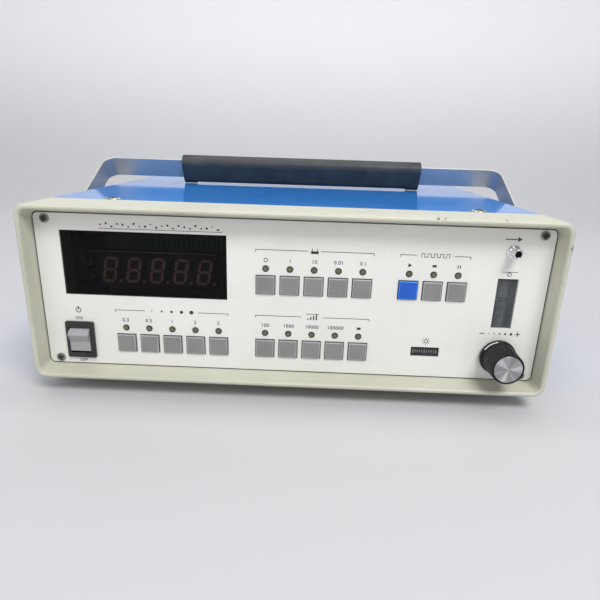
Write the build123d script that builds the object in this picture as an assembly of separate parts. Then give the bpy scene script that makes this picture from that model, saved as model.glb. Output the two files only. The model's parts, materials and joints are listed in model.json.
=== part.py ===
from build123d import *
from math import asin, atan2, cos, degrees, hypot, radians, sin
import os

# Airborne particle counter: a bench-top instrument that draws room air through an optical
# chamber and counts the dust in it. Millimetres; X right, Y back, Z up. The origin is on the
# ground, under the middle of the case. Depths run back from the front rim, heights run up
# from the lower edge of the end frames.

# Case
WIDTH = 276.5            # over the end frames
HEIGHT = 94.6            # of the end frames, without the feet
DEPTH = 260.0            # from front rim to rear rim
FOOT_DROP = 9.0          # ground to the lower edge of the end frames
FIT = 0.3                # gap between pieces that are put together by hand
FRAME_D = 27.5           # depth of an end frame
FRAME_R = 6.5            # its outer corners
RIM_WALL = 2.7           # its wall at the mouth
RIM_ROUND = 1.2
LIP_BREAK = 0.6
SEAT_SIDE, SEAT_TOP = 3.75, 4.85     # its walls where the panel sits
PANEL_AT = 10.2          # depth of the panel's face
PANEL_T = 2.0
PANEL_R = 3.0
LEDGE_SIDE = 7.75        # wall behind the panel, at the sides
LEDGE_TOP = 9.3          # the same above and below
OPENING_R = 12.0
TONGUE = 14.0            # part of the end frame that the covers lie on
COVER_SIDE = 1.0         # covers lie this far inside the frame's sides
COVER_DROP = 0.6         # and this far under its top
COVER_T = 1.2
COVER_R = 4.0
SEAM = 30.0              # height of the joint between the covers
CHASSIS_T = 1.5

# Fasteners: shank, head radius, head height
M3_SHANK, M3_HEAD, M3_RISE = 1.4, 2.4, 1.4
SCREW_BITE = 6.0         # length of a screw past the sheet it holds
HOLE_SPARE = 2.0         # its hole is this much deeper
CUP_R, CUP_T = 4.2, 0.8  # finishing washer under a cover screw
HEAD_BREAK = 0.6         # edge of a screw's head
SCREW_PLAY = 0.1
PANEL_SCREW_IN = 6.35    # panel screws, in from the panel's edges
PANEL_SCREW_UP = 3.3
COVER_SCREW_BACK = 7.0   # behind the frame
COVER_SCREW_X = 101.0

# Front panel, left to right: blocks of parts with a gap before each and one after the last
WINDOW_W, WINDOW_H = 87.0, 34.7
KEY_PITCH = 12.7
KEY = 9.7                # key cap, square
KEY_GAP = 0.35           # round a key cap
KEY_PROUD = 1.1
KEY_TRAVEL = 1.0
KEY_BREAK = 0.6
KEY_STEM_W, KEY_STEM = 3.0, 4.0
LED_R = 1.5
LED_PROUD = 0.9
LED_UP = 8.8             # lamp above the middle of its key
METER_W, METER_H = 10.8, 27.5
BLOCK_GAPS = (13.2, 15.4, 13.8, 15.7, 15.6)
WINDOW_DOWN = 14.3       # top of the frame to the window
LOWER_ROW = 18.7         # height of the lower row of keys
UPPER_ROW_DOWN = 39.7    # top of the frame to the upper row
SIZE_KEYS_IN = 4.9       # last size key, in from the window's right edge
NIPPLE_DOWN = 17.1
KNOB_UP = 19.6
METER_SHARE = 0.51       # flow window between the knob and the nipple
DIGITS = 5
DIGIT_H, DIGIT_W = 14.0, 7.4
DIGIT_STROKE, DIGIT_LEAN = 1.5, 10.0
DIGIT_RISE = 0.4
DIGIT_BLOCK_H, DIGIT_BLOCK_D = 19.0, 9.0
DIGIT_IN = 23.5          # first digit, in from the window's left edge
DIGIT_UP = 13.4          # middle of the digits, above the window's lower edge
HOUR_W, HOUR_H, HOUR_UP = 15.4, 5.6, 20.0
HOUR_CASE = 4.0          # its case, wider and taller than its window

# Board behind the panel
BOARD_AT = 24.0          # depth of its face
BOARD_T = 1.6
SUNK = 1.0               # faces of the meters, behind the panel's face
SWITCH_WEB = 1.0         # left under a key's stem
BOARD_SIDE = 4.0
STUD_R = 2.5
SWITCH = 12.2
SWITCH_D = 7.0

# Rocker switch
ROCKER_IN = 5.7          # its middle, in from the window's left edge
ROCKER_UP = 19.6
BEZEL_W, BEZEL_H, BEZEL_T = 15.8, 21.2, 1.7
BEZEL_R, BEZEL_BREAK = 1.0, 0.6
BODY_W, BODY_H, BODY_D = 13.0, 19.2, 20.0
ROCKER_W, ROCKER_R = 11.0, 7.1
ROCKER_SPREAD = 45.0     # from the middle of the rocker to each of its edges
ROCKER_TILT = 12.5       # from level to pressed
ROCKER_DISH = 1.4
ROCKER_AXLE_AT = 11.5    # depth of its axle
ROCKER_BACK = 2.5
AXLE_R, AXLE_L = 1.2, 0.7
RUNNING = 0.05           # radial clearance of what turns or slides

# Knob, valve and flow meter
KNOB_R, KNOB_FRONT_R = 9.1, 8.4
KNOB_PROUD = 8.0         # in front of the rim
KNOB_OFF = 1.3           # off the panel
SKIRT_R, SKIRT_T = 9.7, 2.6
CAP_R, CAP_T, CAP_BREAK = 7.3, 0.9, 0.3
KNOB_RIBS, FLUTE = 24, 0.9
SPINDLE_R = 3.0
VALVE_R, VALVE_NUT_R, VALVE_NUT_T = 4.5, 6.5, 2.4
VALVE_THREAD = 0.5       # of the bush, in front of its nut
BORE_SPARE = 1.0         # blind bores go this much deeper
METER_D = 18.0
METER_END = 2.0          # block above and below its window
TUBE_R, TUBE_WALL = 3.2, 1.2     # bore of the flow meter, and the wall in front of it
BALL_R = 2.2
BALL_UP = 1.6            # resting ball, above the window's lower edge
BALL_RISE = 22.0
VALVE_D, SPINDLE_D = 14.0, 9.0   # how far valve and spindle reach behind the panel
SPINDLE_AT = 1.0         # depth of the spindle's front end
NIPPLE_R, NIPPLE_BORE = 2.5, 1.6
NIPPLE_FLANGE, NIPPLE_FLANGE_T = 1.0, 1.0    # flange, wider than the tube
NIPPLE_NUT, NIPPLE_BREAK = 1.7, 0.4
NIPPLE_OUT = 7.2         # in front of the panel
NIPPLE_BODY = 12.0       # behind it

# Handle
PIVOT_DOWN = 40.2        # under the top of the end frames
PIVOT_AT = 62.0          # depth
STRAP_W, STRAP_T = 15.0, 2.0
STRAP_R = 8.0            # inside of its bends
HANDLE_OUT = 14.25       # strap outside the frame's sides
REACH = 104.8            # pivot to the inner face of the bar
HANDLE_REST_GAP = 0.3    # over the cover
GRIP_L, GRIP_W, GRIP_T, GRIP_R = 182.0, 20.6, 12.0, 4.9
COLLAR_L, COLLAR_DROP = 9.2, 0.9
PIVOT_R, PIVOT_HEAD_R, PIVOT_HEAD_T = 3.0, 5.6, 1.6
HUB_R = 10.0             # round spacer between case and strap
RAIL_H, RAIL_D, RAIL_T = 26.0, 10.0, 2.0
BOSS_R, BOSS_L = 6.0, 6.0

# Feet and underside
FOOT_R, FOOT_TIP_R, FOOT_HOLE_R = 9.0, 7.6, 3.6
FOOT_SIDE, FOOT_END = 38.0, 52.0
SLOT_L, SLOT_W, SLOT_PITCH, SLOTS = 30.0, 3.0, 8.0, 5

# Rear panel
INLET_W, INLET_H = 30.6, 22.6
SOCKET_W, SOCKET_H, SOCKET_D, SOCKET_WALL = 24.4, 16.6, 15.0, 1.4
FLANGE_T = 2.2
SOCKET_R, SOCKET_CUT = 2.0, 4.0      # corners of its flange, cut corners of its well
PIN_W, PIN_T, PIN_L = 2.0, 4.0, 11.0
PINS = ((-7.0, -1.0), (0.0, 2.0), (7.0, -1.0))
TAB_T, TAB_L = 0.8, 9.0
INLET_IN, FUSE_IN, AIR_IN = 198.0, 166.0, 110.0   # in from the right side of the case
FUSE_R, FUSE_BODY_R, FUSE_L = 7.5, 6.0, 32.0
FUSE_PROUD, FUSE_NUT_T, FUSE_BREAK = 6.0, 2.0, 0.8
FUSE_SLOT = (8.0, 1.2, 1.0)          # length, width, depth
AIR_R, AIR_BORE = 3.2, 2.0
AIR_PROUD = KNOB_PROUD   # behind the rear rim

# Inside
MAIN_W, MAIN_D, MAIN_STUD = 100.0, 76.0, 6.0
MAIN_AT = 47.0
CHIP = (6.4, 19.0, 3.6)
CHIP_PITCH, CHIP_ROW = 15.4, 15.2    # along a row, and each row from the board's middle
CORE = (50.0, 44.0, 42.0)
COIL_W, COIL_OUT, COIL_R = 28.0, 7.0, 4.0
BLOCK = (52.0, 58.0, 42.0)
BLOCK_R = 2.0
BLOCK_BACK = 100.0       # its middle, in from the rear rim
LAMP_H, LAMP_CORE, LAMP_L, LAMP_FINS = 28.0, 22.4, 42.0, 5
DETECTOR_R, DETECTOR_L, DETECTOR_BREAK = 14.0, 46.0, 2.0
PUMP_R, PUMP_L, PUMP_HEAD_L = 13.0, 42.0, 22.0
PUMP_BACK = 45.0         # its motor, in from the rear rim
PUMP_PORT_X, PUMP_HEAD_R, PUMP_STEP = 6.0, 3.0, 1.0
FILTER_R, FILTER_L, FILTER_AT = 12.0, 42.0, 58.0
FILTER_UP = 13.0         # its middle, above the chassis plate
PORT_R, PORT_L = 2.0, 5.0
HOSE_R = 3.0
HOSE_RUN, INLET_RUN = 16.0, 24.0     # straight run before a bend, and at the air inlet

# Worked out from the sizes above
FRONT = -DEPTH / 2
BASE = FOOT_DROP
PANEL_W = WIDTH - 2 * (SEAT_SIDE + FIT)
PANEL_H = HEIGHT - 2 * (SEAT_TOP + FIT)
COVER_W = WIDTH - 2 * COVER_SIDE
COVER_H = HEIGHT - 2 * COVER_DROP
TONGUE_W = COVER_W - 2 * (COVER_T + FIT)
TONGUE_H = COVER_H - 2 * (COVER_T + FIT)
TONGUE_END = FRAME_D + TONGUE
PANEL_BACK = PANEL_AT + PANEL_T
PAST_PANEL = PANEL_BACK + PANEL_T
FLOOR = LEDGE_TOP + CHASSIS_T            # height of the chassis plate's upper face
KEY_HOLE = KEY + 2 * KEY_GAP
FIVE_KEYS = 4 * KEY_PITCH + KEY_HOLE
THREE_KEYS = 2 * KEY_PITCH + KEY_HOLE
SPREAD = (PANEL_W - WINDOW_W - FIVE_KEYS - THREE_KEYS - METER_W) / sum(BLOCK_GAPS)
WINDOW_X = -PANEL_W / 2 + SPREAD * BLOCK_GAPS[0] + WINDOW_W / 2
GROUP_X = WINDOW_X + (WINDOW_W + KEY_HOLE) / 2 + SPREAD * BLOCK_GAPS[1]
MEASURE_X = GROUP_X + FIVE_KEYS + SPREAD * BLOCK_GAPS[2]
FLOW_X = MEASURE_X + THREE_KEYS - (KEY_HOLE - METER_W) / 2 + SPREAD * BLOCK_GAPS[3]
WINDOW_Z = HEIGHT - WINDOW_DOWN - WINDOW_H / 2
UPPER_ROW = HEIGHT - UPPER_ROW_DOWN
SIZE_X = WINDOW_X + WINDOW_W / 2 - SIZE_KEYS_IN - 4 * KEY_PITCH
ROCKER_X = WINDOW_X - WINDOW_W / 2 + ROCKER_IN
NIPPLE_Z = HEIGHT - NIPPLE_DOWN
METER_Z = KNOB_UP + METER_SHARE * (NIPPLE_Z - KNOB_UP)
METER_TOP = METER_Z + METER_H / 2 + METER_END
METER_LOW = KNOB_UP - VALVE_NUT_R - METER_END
BALL_Z = METER_Z - METER_H / 2 + BALL_UP
BALL_AT = PANEL_BACK + TUBE_WALL + TUBE_R
HOUR_X = MEASURE_X + KEY_PITCH
BOARD_L = WINDOW_X - WINDOW_W / 2 + 2 * ROCKER_IN + BODY_W / 2
BOARD_R = FLOW_X - (METER_W + BODY_W) / 2 - METER_END
PIVOT_Z = HEIGHT - PIVOT_DOWN
STRAP_X = WIDTH / 2 + HANDLE_OUT         # outer face of the handle's arms
BAR_MID = REACH + STRAP_T / 2
HANDLE_UP = HEIGHT - COVER_DROP + HANDLE_REST_GAP - PIVOT_Z
COLLAR_ALONG = BAR_MID - GRIP_T / 2 + GRIP_R      # middle of the corner that the collars rest on
COLLAR_UNDER = GRIP_W / 2 + COLLAR_DROP - GRIP_R
COLLAR_LIFT = (HANDLE_UP + GRIP_R) / hypot(COLLAR_ALONG, COLLAR_UNDER)
REST_ANGLE = degrees(atan2(COLLAR_UNDER, COLLAR_ALONG) + asin(COLLAR_LIFT))
RAIL_X = TONGUE_W / 2                    # outer face of the side rails


def seen(x, z, depth):
    """Drawing plane that faces the user: right is +X, up is +Z."""
    return Plane(origin=(x, FRONT + depth, BASE + z), x_dir=(1, 0, 0), z_dir=(0, -1, 0))


def into(shape, near, far, x=0.0, z=0.0):
    """Extrude a shape, drawn as the user sees it, from depth near to depth far."""
    return extrude(seen(x, z, near) * shape, amount=near - far)


def rod(radius, near, far, x, z):
    return into(Circle(radius), near, far, x, z)


def dot(radius, sides=12):
    """Many-sided outline for the smallest round pieces and their holes."""
    return RegularPolygon(radius, sides)


def shank(radius):
    return dot(radius, 8)


def upright(shape, low, high, x, depth):
    """Extrude a plan shape from height low to height high."""
    return extrude(Pos(x, FRONT + depth, BASE + low) * shape, amount=high - low)


def side_plane(x):
    """Drawing plane across the case: right is +Y, up is +Z."""
    return Plane(origin=(x, FRONT, BASE), x_dir=(0, 1, 0), z_dir=(1, 0, 0))


def across(shape, left, right, depth=0.0, z=0.0):
    """Extrude a side view from x left to x right."""
    return extrude(side_plane(left) * (Pos(depth, z) * shape), amount=right - left)


def to_rear(part):
    return mirror(part, about=Plane.XZ)


# --- Housing ---------------------------------------------------------------------------


def screw_spots(half_x, half_z, middle):
    return [(sx * half_x, middle + sz * half_z) for sx in (-1, 1) for sz in (-1, 1)]


PANEL_SPOTS = screw_spots(PANEL_W / 2 - PANEL_SCREW_IN, PANEL_H / 2 - PANEL_SCREW_UP, HEIGHT / 2)


def end_frame():
    """Moulded ring: tapered mouth, seat for the panel, tongue for the covers."""
    middle = HEIGHT / 2
    ring = into(RectangleRounded(WIDTH, HEIGHT, FRAME_R), 0, FRAME_D, z=middle)
    ring = chamfer(ring.faces().sort_by(Axis.Y)[0].edges(), RIM_ROUND)
    ring += into(RectangleRounded(TONGUE_W, TONGUE_H, COVER_R - COVER_T), FRAME_D, TONGUE_END, z=middle)
    mouth = RectangleRounded(WIDTH - 2 * RIM_WALL, HEIGHT - 2 * RIM_WALL, FRAME_R - RIM_WALL)
    seat = RectangleRounded(PANEL_W + 2 * FIT, PANEL_H + 2 * FIT, PANEL_R + FIT)
    throat = RectangleRounded(WIDTH - 2 * SEAT_SIDE, HEIGHT - 2 * SEAT_TOP, PANEL_R)
    ring -= loft([seen(0, middle, 0) * mouth, seen(0, middle, PANEL_AT) * throat])
    rim = RIM_WALL - LIP_BREAK
    flare = RectangleRounded(WIDTH - 2 * rim, HEIGHT - 2 * rim, FRAME_R - rim)
    ring -= extrude(seen(0, middle, 0) * flare, amount=-LIP_BREAK, taper=45)
    ring -= into(seat, PANEL_AT - RIM_ROUND, PANEL_BACK, z=middle)
    opening = RectangleRounded(WIDTH - 2 * LEDGE_SIDE, HEIGHT - 2 * LEDGE_TOP, OPENING_R)
    ring -= into(opening, PANEL_BACK, TONGUE_END, z=middle)
    for x, z in PANEL_SPOTS:
        ring -= into(shank(M3_SHANK + RUNNING), PANEL_BACK, PANEL_BACK + SCREW_BITE + HOLE_SPARE, x, z)
    for x in (-COVER_SCREW_X, COVER_SCREW_X):
        ring -= upright(shank(M3_SHANK + RUNNING), 0, HEIGHT, x, FRAME_D + COVER_SCREW_BACK)
    return ring


def cover_sheet():
    """Closed sleeve that both covers are cut from."""
    sleeve = into(RectangleRounded(COVER_W, COVER_H, COVER_R), FRAME_D + FIT, DEPTH - FRAME_D - FIT,
                  z=HEIGHT / 2)
    bore = RectangleRounded(COVER_W - 2 * COVER_T, COVER_H - 2 * COVER_T, COVER_R - COVER_T)
    sleeve -= into(bore, 0, DEPTH, z=HEIGHT / 2)
    for x in (-COVER_SCREW_X, COVER_SCREW_X):
        for depth in (FRAME_D + COVER_SCREW_BACK, DEPTH - FRAME_D - COVER_SCREW_BACK):
            sleeve -= upright(shank(M3_SHANK + FIT), 0, HEIGHT, x, depth)
    return sleeve - across(Circle(PIVOT_R + SCREW_PLAY), -WIDTH, WIDTH, PIVOT_AT, PIVOT_Z)


def above_seam(low, high):
    return upright(Rectangle(WIDTH, DEPTH), low, high, 0, DEPTH / 2)


def top_cover():
    return cover_sheet() & above_seam(SEAM + FIT / 2, HEIGHT)


def foot_spots():
    xs = (FOOT_SIDE - WIDTH / 2, WIDTH / 2 - FOOT_SIDE)
    return [(x, depth) for x in xs for depth in (FOOT_END, DEPTH - FOOT_END)]


def bottom_cover():
    cover = cover_sheet() & above_seam(0, SEAM - FIT / 2)
    for row in (-1, 1):
        for n in range(SLOTS):
            depth = DEPTH / 2 + (n - (SLOTS - 1) / 2) * SLOT_PITCH
            cover -= upright(Rectangle(SLOT_L, SLOT_W), 0, LEDGE_TOP, row * WIDTH / 6, depth)
    return cover


def feet():
    """Rubber feet, each with a sunk hole for its screw."""
    tall = FOOT_DROP + COVER_DROP
    blank = Pos(0, 0, tall / 2 - FOOT_DROP) * Cone(FOOT_TIP_R, FOOT_R, tall)
    blank -= Pos(0, 0, -FOOT_DROP) * extrude(dot(FOOT_HOLE_R), amount=tall / 2)
    return [Pos(x, FRONT + depth, BASE) * blank for x, depth in foot_spots()]


def side_rail(side):
    """Channel that ties the end frames together and carries the handle."""
    channel = Rectangle(RAIL_D, RAIL_H) - Pos(-RAIL_T) * Rectangle(RAIL_D, RAIL_H - 2 * RAIL_T)
    middle = RAIL_X - RAIL_D / 2
    rail = into(channel, TONGUE_END, DEPTH - TONGUE_END, middle, PIVOT_Z)
    rail += across(Circle(BOSS_R), RAIL_X - BOSS_L, RAIL_X - RAIL_T, PIVOT_AT, PIVOT_Z)
    rail -= across(Circle(PIVOT_R + SCREW_PLAY), 0, WIDTH, PIVOT_AT, PIVOT_Z)
    return rail if side > 0 else mirror(rail, about=Plane.YZ)


def chassis_plate():
    """Plate across the tongues of both frames, with pressed studs for the main board."""
    wide = WIDTH - 2 * (LEDGE_SIDE + OPENING_R)
    near, far = PANEL_AT + BODY_D + BOARD_SIDE, DEPTH - FRAME_D
    plate = upright(Rectangle(wide, far - near), LEDGE_TOP, FLOOR, 0, (near + far) / 2)
    for x, depth in main_studs():
        plate += upright(dot(STUD_R), FLOOR, FLOOR + MAIN_STUD, x, depth)
    return plate


def panel_screws():
    """Pan-head screws: four in each panel."""
    front = []
    for x, z in PANEL_SPOTS:
        head = into(dot(M3_HEAD), PANEL_AT - M3_RISE, PANEL_AT, x, z)
        head = chamfer(head.faces().sort_by(Axis.Y)[0].edges(), HEAD_BREAK)
        front.append(head + into(shank(M3_SHANK), PANEL_AT, PANEL_BACK + SCREW_BITE, x, z))
    return front + [to_rear(screw) for screw in front]


def cover_screws():
    """Screws with finishing washers: four above and four below."""
    top = HEIGHT - COVER_DROP
    screws = []
    for x in (-COVER_SCREW_X, COVER_SCREW_X):
        depth = FRAME_D + COVER_SCREW_BACK
        screw = upright(dot(CUP_R), top, top + CUP_T, x, depth)
        screw += upright(dot(M3_HEAD), top + CUP_T, top + CUP_T + M3_RISE, x, depth)
        screw += upright(shank(M3_SHANK), top - SCREW_BITE, top, x, depth)
        screws.append(screw)
    middle = Plane.XY.offset(BASE + HEIGHT / 2)
    screws += [mirror(screw, about=middle) for screw in screws]
    return screws + [to_rear(screw) for screw in screws]


# --- Front panel -----------------------------------------------------------------------


def key_spots():
    """Middle of each key, with the name of its node."""
    spots = {}
    for n in range(5):
        spots[f"size_key_{n + 1}"] = (SIZE_X + n * KEY_PITCH, LOWER_ROW)
        spots[f"alarm_key_{n + 1}"] = (GROUP_X + n * KEY_PITCH, LOWER_ROW)
        spots[f"volume_key_{n + 1}"] = (GROUP_X + n * KEY_PITCH, UPPER_ROW)
    for n, name in enumerate(("start_key", "stop_key", "hold_key")):
        spots[name] = (MEASURE_X + n * KEY_PITCH, UPPER_ROW)
    return spots


KEYS = key_spots()


def stud_spots():
    """Studs for the board: beside the rocker, between the window and the keys, and two right."""
    inset = STUD_R + PANEL_T
    low = LEDGE_TOP + BOARD_SIDE + inset
    beside_window = (WINDOW_X + WINDOW_W / 2 + GROUP_X - SWITCH / 2) / 2
    right = BOARD_R - inset
    return [(BOARD_L + inset, low), (beside_window, HEIGHT - low), (right, low), (right, HEIGHT - low)]


def blank_panel():
    panel = into(RectangleRounded(PANEL_W, PANEL_H, PANEL_R), PANEL_AT, PANEL_BACK, z=HEIGHT / 2)
    for x, z in PANEL_SPOTS:
        panel -= into(shank(M3_SHANK + SCREW_PLAY), 0, PAST_PANEL, x, z)
    return panel


def front_panel():
    panel = blank_panel()
    window = Rectangle(WINDOW_W + 2 * SCREW_PLAY, WINDOW_H + 2 * SCREW_PLAY)
    panel -= into(window, 0, PAST_PANEL, WINDOW_X, WINDOW_Z)
    for x, z in KEYS.values():
        panel -= into(Rectangle(KEY_HOLE, KEY_HOLE), 0, PAST_PANEL, x, z)
        panel -= into(dot(LED_R + SCREW_PLAY), 0, PAST_PANEL, x, z + LED_UP)
    panel -= into(Rectangle(METER_W, METER_H), 0, PAST_PANEL, FLOW_X, METER_Z)
    panel -= into(Rectangle(HOUR_W, HOUR_H), 0, PAST_PANEL, HOUR_X, HOUR_UP)
    panel -= into(Rectangle(BODY_W + FIT, BODY_H + FIT), 0, PAST_PANEL, ROCKER_X, ROCKER_UP)
    panel -= rod(VALVE_R + SCREW_PLAY, 0, PAST_PANEL, FLOW_X, KNOB_UP)
    panel -= rod(NIPPLE_R + SCREW_PLAY, 0, PAST_PANEL, FLOW_X, NIPPLE_Z)
    for x, z in stud_spots():
        panel += into(dot(STUD_R), PANEL_BACK, BOARD_AT, x, z)
    return panel


def display_window():
    return into(Rectangle(WINDOW_W, WINDOW_H), PANEL_AT + FIT, PANEL_BACK, WINDOW_X, WINDOW_Z)


def key_cap(x, z):
    """Square cap with its edge broken, and the stem that enters its switch."""
    face = PANEL_AT - KEY_PROUD
    back = BOARD_AT - SWITCH_D - KEY_TRAVEL - FIT
    cap = into(Rectangle(KEY, KEY), face, back, x, z)
    cap = chamfer(cap.faces().sort_by(Axis.Y)[0].edges(), KEY_BREAK)
    return cap + into(Rectangle(KEY_STEM_W, KEY_STEM_W), back, back + KEY_STEM, x, z)


def key_switches():
    """A switch behind each key, with a hole for its stem."""
    near = BOARD_AT - SWITCH_D
    body = into(Rectangle(SWITCH, SWITCH), near, BOARD_AT)
    slot = KEY_STEM_W + 2 * RUNNING
    body -= into(Rectangle(slot, slot), near, BOARD_AT - SWITCH_WEB)
    return [Pos(x, 0, z) * body for x, z in KEYS.values()]


def status_leds():
    """Lamps from the board to just proud of the panel: one over each key."""
    lamp = into(dot(LED_R), PANEL_AT - LED_PROUD, BOARD_AT)
    return [Pos(x, 0, z + LED_UP) * lamp for x, z in KEYS.values()]


def segment(length):
    half, tip = DIGIT_STROKE / 2, length / 2
    upper = [(-tip, 0), (half - tip, half), (tip - half, half)]
    lower = [(tip, 0), (tip - half, -half), (half - tip, -half)]
    return make_face(Polyline(*upper, *lower, close=True))


def seven_segments():
    """Leaning seven-segment figure and its point, drawn about its middle."""
    wide, half = DIGIT_W - DIGIT_STROKE, (DIGIT_H - DIGIT_STROKE) / 2
    lean = sin(radians(DIGIT_LEAN))
    bar = segment(wide - FIT)
    post = Rot(0, 0, 90 - DIGIT_LEAN) * segment(half - FIT)
    pieces = [Pos(lean * level * half, level * half) * bar for level in (-1, 0, 1)]
    pieces += [Pos(side * wide / 2 + lean * level * half, level * half) * post
               for side in (-1, 1) for level in (-0.5, 0.5)]
    return pieces + [Pos(DIGIT_W / 2 + DIGIT_STROKE, -half) * Rectangle(DIGIT_STROKE, DIGIT_STROKE)]


def digit_modules():
    """Numeral blocks behind the window: each carries seven raised bars and a point."""
    near = BOARD_AT - DIGIT_BLOCK_D
    block = into(Rectangle(KEY_PITCH - FIT, DIGIT_BLOCK_H), near, BOARD_AT)
    for piece in seven_segments():
        block += into(piece, near - DIGIT_RISE, near)
    first = WINDOW_X - WINDOW_W / 2 + DIGIT_IN
    height = WINDOW_Z - WINDOW_H / 2 + DIGIT_UP
    return [Pos(first + n * KEY_PITCH, 0, height) * block for n in range(DIGITS)]


def display_board():
    low, high = LEDGE_TOP + BOARD_SIDE, HEIGHT - LEDGE_TOP - BOARD_SIDE
    wide, middle = BOARD_R - BOARD_L, (BOARD_L + BOARD_R) / 2
    return into(Rectangle(wide, high - low), BOARD_AT, BOARD_AT + BOARD_T, middle, HEIGHT / 2)


def hour_meter():
    body = into(Rectangle(HOUR_W + HOUR_CASE, HOUR_H + HOUR_CASE), PANEL_BACK, BOARD_AT, HOUR_X, HOUR_UP)
    face = Rectangle(HOUR_W - FIT, HOUR_H - FIT)
    return body + into(face, PANEL_AT + SUNK, PANEL_BACK, HOUR_X, HOUR_UP)


def rocker_bezel():
    """Switch body with its flange on the panel and a well for the rocker."""
    flange = RectangleRounded(BEZEL_W, BEZEL_H, BEZEL_R)
    bezel = into(flange, PANEL_AT - BEZEL_T, PANEL_AT, ROCKER_X, ROCKER_UP)
    bezel = chamfer(bezel.faces().sort_by(Axis.Y)[0].edges(), BEZEL_BREAK)
    bezel += into(Rectangle(BODY_W, BODY_H), PANEL_AT, PANEL_AT + BODY_D, ROCKER_X, ROCKER_UP)
    well = Rectangle(ROCKER_W + 2 * FIT, 2 * (ROCKER_R + FIT))
    floor = ROCKER_AXLE_AT + ROCKER_R
    bezel -= into(well, 0, floor, ROCKER_X, ROCKER_UP)
    axle = ROCKER_W / 2 + AXLE_L + RUNNING
    hole = Circle(AXLE_R + RUNNING)
    return bezel - across(hole, ROCKER_X - axle, ROCKER_X + axle, ROCKER_AXLE_AT, ROCKER_UP)


def rocker_outline():
    """Side view of the rocker when level: a round drum with a dished face."""
    reach = ROCKER_R * cos(radians(ROCKER_SPREAD))
    edge = ROCKER_R * sin(radians(ROCKER_SPREAD))
    middle = (ROCKER_BACK - reach) / 2
    drum = Circle(ROCKER_R) & (Pos(middle) * Rectangle(reach + ROCKER_BACK, 2 * ROCKER_R))
    upper, lower = [(-ROCKER_R, edge), (-reach, edge)], [(-reach, -edge), (-ROCKER_R, -edge)]
    dish = Polyline(*upper, (ROCKER_DISH - reach, 0), *lower, close=True)
    return drum - make_face(dish)


def rocker_actuator():
    half = ROCKER_W / 2
    drum = Rot(0, 0, ROCKER_TILT) * rocker_outline()
    rocker = across(drum, ROCKER_X - half, ROCKER_X + half, ROCKER_AXLE_AT, ROCKER_UP)
    half += AXLE_L
    return rocker + across(Circle(AXLE_R), ROCKER_X - half, ROCKER_X + half, ROCKER_AXLE_AT, ROCKER_UP)


# --- Air path on the front panel --------------------------------------------------------


def nipple(radius, bore, out, x, z):
    """Hose nipple through a panel, nutted behind it."""
    tube = rod(radius, PANEL_AT - out, PANEL_BACK + NIPPLE_BODY, x, z)
    tube = chamfer(tube.faces().sort_by(Axis.Y)[0].edges(), NIPPLE_BREAK)
    tube += rod(radius + NIPPLE_FLANGE, PANEL_AT - NIPPLE_FLANGE_T, PANEL_AT, x, z)
    tube += into(RegularPolygon(radius + NIPPLE_NUT, 6), PANEL_BACK, PANEL_BACK + VALVE_NUT_T, x, z)
    return tube - rod(bore, -out, PANEL_BACK + NIPPLE_BODY, x, z)


def flowmeter_block():
    """Clear block: a bore for the ball behind the window, and a seat for the valve below it."""
    case = Rectangle(METER_W + 2 * METER_END, METER_TOP - METER_LOW)
    face = Rectangle(METER_W - FIT, METER_H - FIT)
    block = into(case, PANEL_BACK, PANEL_BACK + METER_D, FLOW_X, (METER_TOP + METER_LOW) / 2)
    block += into(face, PANEL_AT + SUNK, PANEL_BACK, FLOW_X, METER_Z)
    block -= upright(Circle(TUBE_R), BALL_Z - BALL_R, BALL_Z + BALL_RISE + BALL_R + FIT, FLOW_X, BALL_AT)
    block -= rod(VALVE_R + RUNNING, 0, PANEL_BACK + VALVE_D + BORE_SPARE, FLOW_X, KNOB_UP)
    return block


def flow_ball():
    return seen(FLOW_X, BALL_Z, BALL_AT) * Sphere(BALL_R)


def needle_valve():
    """Valve cartridge: threaded bush, nut on the panel, bore for the spindle."""
    valve = rod(VALVE_R, PANEL_AT - VALVE_NUT_T - VALVE_THREAD, PANEL_BACK + VALVE_D, FLOW_X, KNOB_UP)
    valve += into(RegularPolygon(VALVE_NUT_R, 6), PANEL_AT - VALVE_NUT_T, PANEL_AT, FLOW_X, KNOB_UP)
    return valve - rod(SPINDLE_R + RUNNING, 0, PANEL_BACK + SPINDLE_D + BORE_SPARE, FLOW_X, KNOB_UP)


def valve_spindle():
    return rod(SPINDLE_R, SPINDLE_AT, PANEL_BACK + SPINDLE_D, FLOW_X, KNOB_UP)


def knob():
    """Fluted knob with a skirt, tapering to its face; bored for the spindle and the nut."""
    back, skirt = PANEL_AT - KNOB_OFF, PANEL_AT - KNOB_OFF - SKIRT_T
    foot, face = seen(FLOW_X, KNOB_UP, skirt), seen(FLOW_X, KNOB_UP, -KNOB_PROUD)
    body = loft([foot * Circle(KNOB_R), face * Circle(KNOB_FRONT_R)])
    flutes = PolarLocations(KNOB_R + FLUTE / 3, KNOB_RIBS) * RegularPolygon(FLUTE, 3, rotation=60)
    body -= into(Sketch() + flutes, FLUTE - KNOB_PROUD, skirt, FLOW_X, KNOB_UP)
    body += rod(SKIRT_R, skirt, back, FLOW_X, KNOB_UP)
    body -= rod(CAP_R + FIT / 2, -KNOB_PROUD, CAP_T - KNOB_PROUD, FLOW_X, KNOB_UP)
    well = PANEL_AT - VALVE_NUT_T - 2 * VALVE_THREAD
    body -= rod(VALVE_NUT_R + VALVE_THREAD, well, back, FLOW_X, KNOB_UP)
    return body - rod(SPINDLE_R, SPINDLE_AT, back, FLOW_X, KNOB_UP)


def knob_cap():
    cap = rod(CAP_R, -KNOB_PROUD, CAP_T - KNOB_PROUD, FLOW_X, KNOB_UP)
    return chamfer(cap.faces().sort_by(Axis.Y)[0].edges(), CAP_BREAK)


# --- Handle ------------------------------------------------------------------------------


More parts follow.
